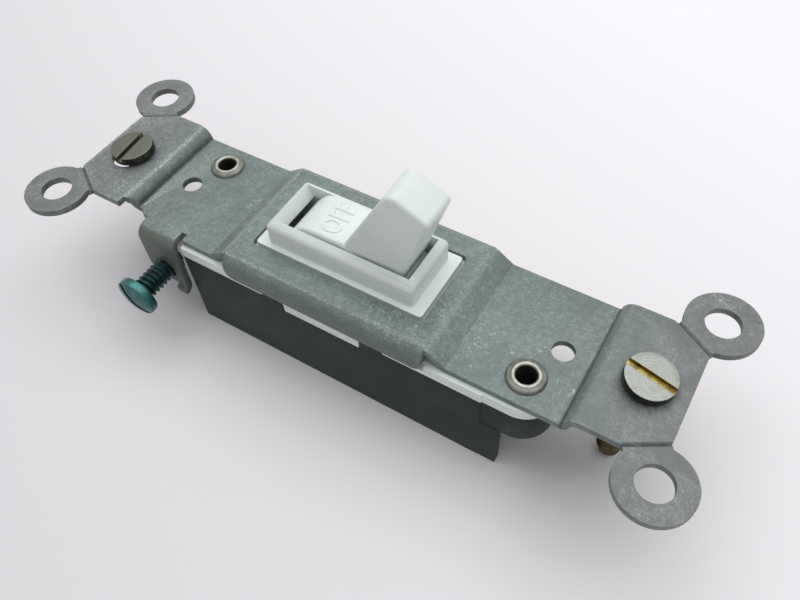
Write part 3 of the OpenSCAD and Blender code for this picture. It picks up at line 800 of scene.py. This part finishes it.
def hand_over(piece: Piece, smooth: float, body: Body, node: str) -> None:
    """Shades a piece, and lets it ride its body and stand for its solid.

    Args:
        piece: The finished piece.
        smooth: Edges flatter than this, in degrees, are shaded smooth.
        body: The body that it rides.
        node: The solid that it stands for.
    """
    pick(piece)
    bpy.ops.object.shade_smooth_by_angle(angle=math.radians(smooth))
    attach(piece, body.value)
    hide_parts(node)
    log.info("%s: %d faces, on %s", piece.name, len(piece.data.polygons), body.value)


@dataclass
class MountingStrap:
    """The sheet-metal strap with its platform, pads, ears and grounding tab."""

    edge: Rounding = Rounding(0.14, 2, 40)
    shortest: float = 0.03
    smooth: float = 40

    def build(self) -> None:
        """Builds the strap with the rounded edges of stamped sheet, and its finish with painted highlights on
        the bends.
        """
        strap = copy_node("strap", "strap_sheet")
        collapse(strap, self.shortest, lambda point: True)
        soften(strap, self.edge)
        paint(strap, ZincSheet().material())
        hand_over(strap, self.smooth, Body.HOUSING, "strap")


@dataclass
class FrontCover:
    """The white front with its flange, rim and window."""

    edge: Rounding = Rounding(0.2, 3, 40)
    shortest: float = 0.08
    smooth: float = 40
    rim_half: Pair = (12, 5.1)
    rim_edge: float = 0.5
    rim_edge_steps: int = 4
    rim_edge_z: Pair = (5.2, 5.9)
    rim_edge_half: Pair = (10.8, 4.1)
    plastic: MouldedPlastic = MouldedPlastic(
        "white_front", (0.765, 0.825, 0.8, 1), (0.725, 0.785, 0.755, 1), (0.36, 0.5))

    def on_rim(self, point: Vector) -> bool:
        """Tells whether a point lies on the rim or in the window."""
        return abs(point.x) < self.rim_half[0] and abs(point.y) < self.rim_half[1]

    def on_rim_edge(self, point: Vector) -> bool:
        """Tells whether a point lies on the rim's outer top edge."""
        outside = abs(point.x) > self.rim_edge_half[0] or abs(point.y) > self.rim_edge_half[1]
        return outside and self.rim_edge_z[0] < point.z < self.rim_edge_z[1]

    def build(self) -> None:
        """Builds the cover, with its rim rounded more than its other edges."""
        cover = copy_node("cover", "front_cover")
        collapse(cover, self.shortest, self.on_rim)
        select_points(cover, self.on_rim_edge)
        bpy.ops.mesh.bevel(offset=self.rim_edge * MM, segments=self.rim_edge_steps, affect="EDGES")
        mode("OBJECT")
        collapse(cover, self.shortest, self.on_rim)
        soften(cover, self.edge)
        paint(cover, self.plastic.material())
        hand_over(cover, self.smooth, Body.HOUSING, "cover")


@dataclass
class BackBase:
    """The dark base under the strap."""

    edge: Rounding = Rounding(0.25, 2, 40)
    smooth: float = 40
    plastic: MouldedPlastic = MouldedPlastic(
        "dark_base", (0.02, 0.03, 0.027, 1), (0.027, 0.039, 0.035, 1), (0.5, 0.68),
        grain=3, grain_depth=0.02, shine=0.22)

    def build(self) -> None:
        """Builds the base with its moulded edges."""
        base = copy_node("base", "back_base")
        soften(base, self.edge)
        paint(base, self.plastic.material())
        hand_over(base, self.smooth, Body.HOUSING, "base")


@dataclass
class ToggleLever:
    """The lever with its shoulders, hub and pins, built upright about its pivot and then leaned over."""

    pivot_z: float = -4.9
    lean: float = 24.5
    height: float = 24.4
    tip_l: float = 6.2
    root_l: float = 9.0
    root_h: float = 10.9
    tip_w: float = 5.7
    root_w: float = 7.0
    tip_r: Pair = (0.8, 1.7)
    handle_edge: Rounding = Rounding(0.5, 4, 60)
    shoulder_w: float = 7.1
    shoulder_t: float = 1.7
    shoulder_end: Pair = (11.6, 4.7)
    shoulder_edge: Rounding = Rounding(0.4, 3, 60)
    crown: Pair = (10.5, 8.0)
    crown_r: float = 3.8
    hub_d: float = 6.8
    hub_edge: Rounding = Rounding(0.2, 2, 50)
    stem_l: float = 6.0
    pin_d: float = 3.0
    pin_reach: float = 5.2
    pin_edge: float = 0.25
    pin_sides: int = 32
    pocket_d: float = 3.4
    pocket_depth: float = 1.6
    letter_h: float = 3.2
    off_w: float = 5.2
    letter_rise: float = 0.12
    letter_share: float = 0.45
    text_extrude: float = 0.25
    text_offset: float = 0.016
    text_steps: int = 3
    steps: int = 8
    smooth: float = 38
    plastic: MouldedPlastic = MouldedPlastic(
        "white_lever", (0.77, 0.83, 0.805, 1), (0.735, 0.795, 0.765, 1), (0.34, 0.48))

    def build(self) -> None:
        """Builds the whole lever, with OFF on the left shoulder and ON on the right one."""
        parts = [self.shoulders(), self.handle(), self.hub(), self.pins()]
        parts += [self.word("OFF", -1), self.word("ON", 1)]
        lever = join("toggle_lever", *parts)
        lean = Matrix.Rotation(math.radians(self.lean), 4, "Y")
        move(lever, Matrix.Translation(metres(0, 0, self.pivot_z)) @ lean)
        paint(lever, self.plastic.material())
        hand_over(lever, self.smooth, Body.TOGGLE, "toggle")

    def handle(self) -> Piece:
        """Builds the tapered handle with its round tip.

        Returns:
            The handle, upright.
        """
        root, tip = self.root_l / 2, self.tip_l / 2
        foot = self.root_h - self.shoulder_t / 2
        corners = [(root, foot), (tip, self.height), (-tip, self.height), (-root, foot)]
        handle = prism("handle", rounded(corners, self.tip_r, self.steps), self.root_w / 2)
        fall = (self.root_w - self.tip_w) / 2 / (self.height - self.root_h)
        open_edit(handle)
        for side in (-1, 1):
            slice_off(metres(0, side * self.root_w / 2, self.root_h), (0, side, fall))
        close_edit()
        soften(handle, self.handle_edge)
        return handle

    def shoulder_line(self) -> list[Pair]:
        """Gives one shoulder's top line, from the lever's middle outwards."""
        corners = [(self.root_l / 2, self.root_h), self.crown, self.shoulder_end]
        return [(0, self.root_h)] + rounded(corners, (self.crown_r,), self.steps)

    def shoulders(self) -> Piece:
        """Builds both shoulders as one curved plate.

        Returns:
            The plate.
        """
        right = self.shoulder_line()
        top = [(-x, z) for x, z in reversed(right[1:])] + right
        under = []
        for before, here, after in zip(top[:1] + top, top, top[1:] + top[-1:]):
            along = (Vector(after) - Vector(before)).normalized()
            under.append((here[0] + along.y * self.shoulder_t, here[1] - along.x * self.shoulder_t))
        plate = prism("shoulders", top + under[::-1], self.shoulder_w / 2)
        soften(plate, self.shoulder_edge)
        return plate

    def hub(self) -> Piece:
        """Builds the hub and its stem, with the spring's pocket.

        Returns:
            The hub.
        """
        r, stem = self.hub_d / 2, self.stem_l / 2
        reach = math.asin(self.stem_l / self.hub_d)
        count = 4 * self.steps
        angles = [reach + (FULL_TURN - 2 * reach) * i / count for i in range(count + 1)]
        top = self.root_h - self.shoulder_t / 2
        outline = [(r * math.sin(angle), r * math.cos(angle)) for angle in angles]
        hub = prism("hub", [(stem, top)] + outline + [(-stem, top)], self.shoulder_w / 2)
        low, high, bore = -r - PAST, self.pocket_depth - r, self.pocket_d / 2
        cut(hub, lathe("pocket", [(0, low), (bore, low), (bore, high), (0, high)]))
        soften(hub, self.hub_edge)
        return hub

    def pins(self) -> Piece:
        """Builds the pivot pin that sticks out at both sides.

        Returns:
            The pin.
        """
        r, end = self.pin_d / 2, self.pin_reach
        face, side = r - self.pin_edge, end - self.pin_edge
        profile = [(0, -end), (face, -end), (r, -side), (r, side), (face, end), (0, end)]
        pins = lathe("pins", profile, self.pin_sides)
        move(pins, Matrix.Rotation(QUARTER_TURN, 4, "X"))
        return pins

    def word(self, letters: str, side: int) -> Piece:
        """Builds a raised word on a shoulder.

        Args:
            letters: The word.
            side: -1 for the left shoulder, 1 for the right one.

        Returns:
            The letters' mesh in its place.
        """
        clear()
        bpy.ops.object.text_add()
        text = bpy.context.active_object.data
        text.body = letters
        text.extrude = self.text_extrude
        text.offset = self.text_offset
        text.resolution_u = self.text_steps
        bpy.ops.object.convert(target="MESH")
        word = named("word_" + letters.lower())
        open_edit(word)
        close_edit()
        low = [min(v.co[k] for v in word.data.vertices) for k in range(3)]
        high = [max(v.co[k] for v in word.data.vertices) for k in range(3)]
        middle = Vector([(a + b) / 2 for a, b in zip(low, high)])
        wanted = (self.off_w * len(letters) / len("OFF"), self.letter_h, 2 * self.letter_rise)
        size = [want / (b - a) for want, a, b in zip(wanted, low, high)]
        fitted = Matrix.Diagonal((*metres(*size), 1)) @ Matrix.Translation(-middle)
        near, far = self.shoulder_line()[1], self.crown
        out, up = (a + self.letter_share * (b - a) for a, b in zip(near, far))
        slope = side * math.atan2(near[1] - far[1], far[0] - near[0])
        turned = Matrix.Rotation(slope, 4, "Y") @ Matrix.Rotation(QUARTER_TURN, 4, "Z")
        move(word, Matrix.Translation(metres(side * out, 0, up)) @ turned @ fitted)
        return word


@dataclass(frozen=True)
class ThreadedScrew:
    """A slotted machine screw, built with its head's underside at Z = 0 and the head upwards."""

    head_d: float
    head_h: float
    dome_h: float
    thread_d: float
    length: float
    pitch: float = 0.794
    slot_w: float = 0.9
    slot_depth: float = 0.7
    slot_edge: Rounding = Rounding(0.07, 2, 50)
    edge: float = 0.2
    edge_share: float = 0.3
    dome_steps: int = 8
    sides: int = 56
    thread_depth: float = 0.42
    ridge: Triple = (0.16, 0.5, 0.62)
    turn_steps: int = 28
    spare_turns: int = 2
    sink_share: float = 0.3
    tip_share: float = 0.3
    tip_taper: float = 0.8

    def build(self, name: str) -> Piece:
        """Builds the screw, with head and thread joined."""
        return join(name, self.head(), self.thread())

    def in_slot(self, face: Face) -> bool:
        """Tells whether a face lies in the slot, before the screw is moved."""
        spot = face.center / MM
        return abs(spot.y) < self.slot_w / 2 + SLACK and spot.z > self.head_h - self.slot_depth - SLACK

    def head(self) -> Piece:
        """Turns the head and cuts its slot.

        Returns:
            The head.
        """
        r = self.head_d / 2
        rim = self.head_h - self.dome_h
        inset = self.edge_share * self.edge
        crown = r - self.edge
        profile = [(0, 0), (crown, 0), (r - inset, inset), (r, self.edge)]
        profile += [(r, rim - self.edge), (r - inset, rim - inset)]
        for i in range(self.dome_steps + 1):
            out = crown * (1 - i / self.dome_steps)
            profile.append((out, rim + self.dome_h * (1 - (out / crown) ** 2)))
        head = lathe("head", profile, self.sides)
        end, low, high = r + PAST, self.head_h - self.slot_depth, self.head_h + PAST
        slot = [(-end, low), (end, low), (end, high), (-end, high)]
        cut(head, prism("slot", slot, self.slot_w / 2))
        soften(head, self.slot_edge)
        return head

    def thread(self) -> Piece:
        """Winds the thread's profile down the shank, and tapers its tip.

        Returns:
            The thread with its core.
        """
        crest = self.thread_d / 2
        root = crest - self.thread_depth
        foot = -self.length - self.pitch
        rise, top, fall = self.ridge
        profile = [(root, 0), (root, rise), (crest, top), (crest, fall), (root, 1)]
        thread = path("thread", [(r, 0, foot + share * self.pitch) for r, share in profile])
        mode("OBJECT")
        turns = math.ceil(self.length / self.pitch) + self.spare_turns
        apply(thread, "SCREW", axis="Z", screw_offset=self.pitch * MM, iterations=turns,
                    steps=self.turn_steps, render_steps=self.turn_steps, use_merge_vertices=True,
                    merge_threshold=MERGE)
        mode("EDIT")
        slice_off(metres(0, 0, -self.length), (0, 0, -1))
        slice_off(metres(0, 0, self.sink_share * self.head_h), (0, 0, 1))
        close_edit()
        select_points(thread, lambda point: point.z < -self.length + self.tip_share * self.pitch)
        bpy.ops.transform.resize(value=(self.tip_taper, self.tip_taper, 1),
                                 center_override=metres(0, 0, -self.length))
        mode("OBJECT")
        return thread


@dataclass
class GroundScrew:
    """The green grounding screw, driven into the tab from the near side."""

    at: Triple = (-28.3, -16.45, -6.95)
    slot_turn: float = -50
    smooth: float = 35
    cut: ThreadedScrew = ThreadedScrew(6.3, 1.9, 0.6, 3.5, 8.05)
    dye: PlatedMetal = PlatedMetal(
        "green_dye", (0.02, 0.095, 0.092, 1), (0.065, 0.2, 0.2, 1), (0.24, 0.42), patch=0.55, metallic=0.6)
    # A darker copy of the dye: painted shade for the slot and the thread.
    dark: PlatedMetal = PlatedMetal(
        "green_painted_shade", (0.006, 0.025, 0.026, 1), (0.015, 0.06, 0.06, 1), (0.3, 0.5), patch=1.2, metallic=0.6)

    def build(self) -> None:
        """Builds the screw in its place, with a darker copy of its dye on its thread and in its slot as
        painted shade.
        """
        screw = self.cut.build("ground_screw_green")
        paint(screw, self.dye.material(), self.dark.material())
        paint_faces(screw, 1, lambda face: face.center.z < -SLACK * MM)
        paint_faces(screw, 1, self.cut.in_slot)
        spin = Matrix.Rotation(math.radians(self.slot_turn), 4, "Z")
        turned = Matrix.Rotation(QUARTER_TURN, 4, "X") @ spin
        move(screw, Matrix.Translation(metres(*self.at)) @ turned)
        hand_over(screw, self.smooth, Body.GROUND_SCREW, "ground_screw")


@dataclass
class BoxScrew:
    """A box screw that hangs loose in its slot, with its retaining washer."""

    side: str
    body: Body
    at: Triple
    turn: Triple
    worn: Colour
    ring: Colour
    stain: Colour
    cut: ThreadedScrew = ThreadedScrew(6.4, 1.3, 0.03, 3.5, 19.05, edge=0.12)
    seat: float = 0.58
    smooth: float = 35
    flank_in: float = 0.2
    flank_tilt: float = 0.8
    top_share: float = 0.8
    top_tilt: float = 0.6
    washer_d: float = 6.6
    washer_bore: float = 3.55
    washer_t: float = 0.8
    washer_drop: float = 5
    washer_edge: Rounding = Rounding(0.12, 2, 50)
    washer_sides: int = 40

    def place(self) -> Matrix:
        """Gives the screw's frame, which sits in the slot."""
        tilt_x, tilt_y, spin = (math.radians(angle) for angle in self.turn)
        tilt = Matrix.Rotation(tilt_y, 4, "Y") @ Matrix.Rotation(tilt_x, 4, "X")
        return Matrix.Translation(metres(*self.at)) @ tilt @ Matrix.Rotation(spin, 4, "Z")

    def seat_height(self) -> float:
        """Gives the head's height on its axis, where its tilted rim clears the strap."""
        tilt_x, tilt_y, _ = (math.radians(angle) for angle in self.turn)
        tilt = math.acos(math.cos(tilt_x) * math.cos(tilt_y))
        return self.seat + self.cut.head_d / 2 * math.tan(tilt)

    def on_flank(self, face: Face) -> bool:
        """Tells whether a face belongs to the head's side, before the screw is moved."""
        spot = face.center / MM
        outside = spot.xy.length > self.cut.head_d / 2 - self.flank_in
        return spot.z > -SLACK / 2 and outside and abs(face.normal.z) < self.flank_tilt

    def on_top(self, face: Face) -> bool:
        """Tells whether a face belongs to the head's top, before the screw is moved."""
        high = face.center.z / MM > self.top_share * self.cut.head_h
        return high and face.normal.z > self.top_tilt and not self.cut.in_slot(face)

    def build_screw(self, shank: Material, flank: Material, slot: Material) -> None:
        """Builds the screw.

        Args:
            shank: The shank's metal, painted dark brown as painted shade under the strap.
            flank: The head's side, painted near black as painted shade.
            slot: The passivated metal in the slot.
        """
        screw = self.cut.build("box_screw_" + self.side)
        place = self.place() @ Matrix.Translation(metres(0, 0, self.seat_height()))
        face = TurnedFace("worn_face_" + self.side, tuple(place.translation / MM), tuple(place.to_euler()),
                          self.worn, self.ring, self.stain)
        paint(screw, shank, flank, face.material(), slot)
        for index, test in enumerate((self.on_flank, self.on_top, self.cut.in_slot), start=1):
            paint_faces(screw, index, test)
        move(screw, place)
        hand_over(screw, self.smooth, self.body, "mounting_screw_" + self.side)

    def build_washer(self, fibre: Material) -> None:
        """Builds the retaining washer.

        Args:
            fibre: The pressed fibre.
        """
        inner, outer = self.washer_bore / 2, self.washer_d / 2
        low, high = -self.washer_drop - self.washer_t, -self.washer_drop
        profile = [(inner, low), (outer, low), (outer, high), (inner, high), (inner, low)]
        washer = lathe("washer_" + self.side, profile, self.washer_sides)
        soften(washer, self.washer_edge)
        move(washer, self.place())
        paint(washer, fibre)
        hand_over(washer, self.smooth, self.body, "screw_retainer_" + self.side)


@dataclass
class TerminalScrews:
    """The two brass wire screws on the far side."""

    x: float = 14.0
    y: float = 8.3
    z: float = -9.0
    smooth: float = 35
    cut: ThreadedScrew = ThreadedScrew(8.0, 2.2, 0.25, 4.1, 2.5, slot_w=1.1, slot_depth=0.9, edge=0.25)

    def build(self, brass: Material) -> None:
        """Builds both screws.

        Args:
            brass: The brass.
        """
        line = self.cut.build("wire_screw_line")
        load = twin(line, "wire_screw_load")
        turned = Matrix.Rotation(-QUARTER_TURN, 4, "X")
        for screw, side, body in ((line, 1, Body.TERMINAL_LINE), (load, -1, Body.TERMINAL_LOAD)):
            move(screw, Matrix.Translation(metres(side * self.x, self.y, self.z)) @ turned)
            paint(screw, brass)
            hand_over(screw, self.smooth, body, body.value)


@dataclass
class HollowRivets:
    """The two eyelets that hold strap, cover and base together."""

    x: float = 27.8
    y: float = -5.6
    bore_r: float = 1.35
    tube_r: float = 1.75
    ring_r: float = 1.86
    flange_r: float = 2.6
    flange_h: float = 0.7
    depth: float = 8.0
    smooth: float = 50
    roll: tuple[Pair, ...] = (
        (0, 0), (0, 0.6), (0.05, 0.82), (0.14, 0.96), (0.26, 1), (0.38, 0.95), (0.5, 0.82),
        (0.62, 0.74), (0.76, 0.68), (0.88, 0.55), (0.96, 0.34), (1, 0))
    tin: PlatedMetal = PlatedMetal(
        "rivet_tin", (0.36, 0.36, 0.325, 1), (0.25, 0.25, 0.21, 1), (0.3, 0.46), patch=1.2, metallic=0.8)
    # Painted shade on the flange's outer slope.
    dull: PlatedMetal = PlatedMetal(
        "rivet_edge_shade", (0.19, 0.197, 0.178, 1), (0.12, 0.124, 0.105, 1), (0.4, 0.56), patch=1.2, metallic=0.6)
    # Painted shade in the bore.
    bore_shade: PlatedMetal = PlatedMetal(
        "rivet_bore", (0.02, 0.02, 0.018, 1), (0.035, 0.033, 0.028, 1), (0.5, 0.7), patch=1.2, metallic=0.4)

    def rolled(self, height: float, way: int) -> list[Pair]:
        """Gives a rolled flange's outline, from the bore round to the flange's edge.

        Args:
            height: Height of the face that it lies on.
            way: 1 for the upper flange, -1 for the lower one.

        Returns:
            Radius and height of the outline's points.
        """
        wide = self.flange_r - self.bore_r
        return [(self.bore_r + wide * out, height + way * self.flange_h * up) for out, up in self.roll]

    def build(self) -> None:
        """Builds both rivets, bright on the roll, with painted shade outside it and in the bore."""
        upper = self.rolled(0, 1)
        lower = self.rolled(-self.depth, -1)
        profile = upper + [(self.tube_r, 0), (self.tube_r, -self.depth)] + lower[::-1] + upper[:1]
        right = lathe("hollow_rivet_right", profile)
        paint(right, self.tin.material(), self.dull.material(), self.bore_shade.material())
        # Painted shade outside the roll and in the bore.
        paint_faces(right, 1, lambda face: face.center.xy.length > self.ring_r * MM)
        paint_faces(right, 2, lambda face: face.center.xy.length < (self.bore_r + SLACK) * MM)
        left = twin(right, "hollow_rivet_left")
        for rivet, side, node in ((right, 1, "rivet_right"), (left, -1, "rivet_left")):
            move(rivet, Matrix.Translation(metres(side * self.x, side * self.y, 0)))
            hand_over(rivet, self.smooth, Body.HOUSING, node)


@dataclass
class SwitchWorks:
    """The contacts, strips, clips and spring inside, which keep their solids' shapes."""

    brass_nodes: tuple[str, ...] = ("contact_rocker", "line_terminal", "load_terminal")
    silver_nodes: tuple[str, ...] = ("moving_contact", "fixed_contact")
    steel_nodes: tuple[str, ...] = ("toggle_spring", "wire_clip_line", "wire_clip_load")
    silver: PlatedMetal = PlatedMetal(
        "contact_silver", (0.75, 0.75, 0.74, 1), (0.5, 0.48, 0.44, 1), (0.22, 0.4))
    steel: PlatedMetal = PlatedMetal("spring_steel", (0.42, 0.44, 0.46, 1), (0.3, 0.31, 0.33, 1), (0.24, 0.4))

    def dress(self, brass: Material) -> None:
        """Gives the inner solids their finishes.

        Args:
            brass: The brass of strips and rocker.
        """
        silver, steel = self.silver.material(), self.steel.material()
        finishes = ((self.brass_nodes, brass), (self.silver_nodes, silver), (self.steel_nodes, steel))
        for nodes, material in finishes:
            for node in nodes:
                paint(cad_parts[node], material)
                log.info("%s: dressed in %s", node, material.name)


@dataclass
class Studio:
    """The pale floor, the soft light and the photograph's camera."""

    floor_z: float = -17.01
    floor_size: float = 3000
    floor_near_shade: Colour = (0.755, 0.735, 0.755, 1)
    floor_far_light: Colour = (0.97, 0.95, 0.975, 1)
    floor_way: Triple = (0.45, 0.89, 0)
    floor_span: Pair = (-75, 95)
    floor_roughness: float = 0.7
    floor_shine: float = 0.2
    camera_at: Triple = (41.8238, -51.24844, 78.31673)
    camera_right: Triple = (0.85342062, 0.51930573, -0.04466321)
    camera_down: Triple = (0.39414195, -0.69904322, -0.59664956)
    camera_ahead: Triple = (-0.34106505, 0.49158939, -0.80125807)
    focal_px: float = 745.3586
    image_w: float = 800
    sensor: float = 36
    ambient: float = 0.36
    ambient_tint: Colour = (0.97, 0.985, 1, 1)
    backdrop: float = 0.96
    backdrop_tint: Colour = (1, 1, 1, 1)
    lamp_at: Triple = (0, 130, 515)
    lamp_size: Pair = (760, 640)
    lamp_power: float = 2.85

    def build(self) -> None:
        """Builds the whole set."""
        self.lay_floor()
        self.light_world()
        self.hang_lamp()
        self.set_camera()

    def lay_floor(self) -> None:
        """Lays the floor under the base, painted darker towards the near side as painted shade and lighter
        towards the far side as painted light.
        """
        clear()
        bpy.ops.mesh.primitive_plane_add(size=self.floor_size * MM, location=metres(0, 0, self.floor_z))
        floor = named("floor")
        shader = Shader("pale_floor")
        # Painted shade towards the near side and painted light towards the far side.
        far = shader.stretch(shader.along(self.floor_way), *self.floor_span)
        shader.set(Base_Color=shader.mix(far, self.floor_near_shade, self.floor_far_light),
                   Roughness=self.floor_roughness, Specular_IOR_Level=self.floor_shine)
        paint(floor, shader.material)

    def light_world(self) -> None:
        """Gives even light from all round, with a pale backdrop where the view passes the floor."""
        world = bpy.data.worlds.new("studio")
        bpy.context.scene.world = world
        nodes = NodeTree(world)
        even = nodes.tree.nodes["Background"]
        nodes.feed(even.inputs["Color"], self.ambient_tint)
        nodes.feed(even.inputs["Strength"], self.ambient)
        pale = nodes.add("ShaderNodeBackground", {"Color": self.backdrop_tint, "Strength": self.backdrop})
        rays = nodes.add("ShaderNodeLightPath").outputs
        seen = nodes.most(rays["Is Camera Ray"], rays["Is Transmission Ray"])
        choice = nodes.add("ShaderNodeMixShader", {"Fac": nodes.most(seen, rays["Is Glossy Ray"])})
        nodes.feed(choice.inputs[1], even.outputs[0])
        nodes.feed(choice.inputs[2], pale.outputs[0])
        nodes.feed(nodes.tree.nodes["World Output"].inputs["Surface"], choice.outputs[0])

    def hang_lamp(self) -> None:
        """Hangs the soft lamp, which points at the switch."""
        lamp = bpy.data.lights.new("softbox", "AREA")
        lamp.shape = "RECTANGLE"
        lamp.size = self.lamp_size[0] * MM
        lamp.size_y = self.lamp_size[1] * MM
        lamp.energy = self.lamp_power
        stand = bpy.data.objects.new("softbox", lamp)
        stand.location = metres(*self.lamp_at)
        stand.rotation_euler = (-stand.location).to_track_quat("-Z", "Y").to_euler()
        bpy.context.scene.collection.objects.link(stand)

    def set_camera(self) -> None:
        """Sets the camera where the photograph was taken from."""
        data = bpy.data.cameras.new("photo_camera")
        data.sensor_fit = "HORIZONTAL"
        data.sensor_width = self.sensor
        data.lens = self.focal_px / self.image_w * self.sensor
        data.clip_start = MM
        camera = bpy.data.objects.new("photo_camera", data)
        axes = (Vector(self.camera_right), -Vector(self.camera_down), -Vector(self.camera_ahead))
        camera.matrix_world = Matrix.Translation(metres(*self.camera_at)) @ Matrix(axes).transposed().to_4x4()
        bpy.context.scene.collection.objects.link(camera)
        bpy.context.scene.camera = camera


def build_box_screws() -> None:
    """Builds both box screws and their washers, which share all but their slots' and faces' colours; the left
    face's darker colours are painted shade.
    """
    olive = PlatedMetal("olive_passivate", (0.17, 0.163, 0.105, 1), (0.12, 0.114, 0.07, 1), (0.34, 0.5), 1.4)
    yellow = PlatedMetal("yellow_passivate", (0.36, 0.28, 0.08, 1), (0.15, 0.11, 0.035, 1), (0.3, 0.48), 1.4)
    # The head's side is painted near black: painted shade.
    flank = PlatedMetal("flank_painted_shade", (0.03, 0.032, 0.028, 1), (0.08, 0.078, 0.06, 1), (0.36, 0.52), 1.1)
    # The shank under the strap is painted dark brown: painted shade.
    shank = PlatedMetal("shank_painted_shade", (0.09, 0.072, 0.035, 1), (0.03, 0.028, 0.018, 1), (0.34, 0.5), 1.1)
    # Both faces are one worn finish; the left face's darker worn, ring and stain colours are painted shade.
    left = BoxScrew("left", Body.BOX_LEFT, at=(-40.6, -0.45, 1.6), turn=(0, -2.5, 96),
                    worn=(0.125, 0.13, 0.112, 1), ring=(0.095, 0.1, 0.084, 1), stain=(0.1, 0.095, 0.055, 1))
    right = BoxScrew("right", Body.BOX_RIGHT, at=(40.61, -0.51, 1.6), turn=(1.2, 4.9, -9),
                     worn=(0.27, 0.282, 0.266, 1), ring=(0.2, 0.21, 0.195, 1), stain=(0.2, 0.195, 0.15, 1))
    shank_shade, flank_shade, fibre = shank.material(), flank.material(), PressedFibre().material()
    for screw, slot in ((left, olive), (right, yellow)):
        screw.build_screw(shank_shade, flank_shade, slot.material())
        screw.build_washer(fibre)


def main() -> None:
    """Builds the switch's sub-assemblies and the set."""
    logging.basicConfig(level=logging.INFO, format="%(name)s %(message)s")
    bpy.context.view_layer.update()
    bpy.context.scene.view_settings.view_transform = "Standard"
    brass = PlatedMetal("brass", (0.62, 0.43, 0.16, 1), (0.42, 0.28, 0.1, 1), (0.24, 0.42)).material()
    MountingStrap().build()
    FrontCover().build()
    BackBase().build()
    ToggleLever().build()
    HollowRivets().build()
    GroundScrew().build()
    build_box_screws()
    TerminalScrews().build(brass)
    SwitchWorks().dress(brass)
    Studio().build()


if __name__ == "__main__":
    main()
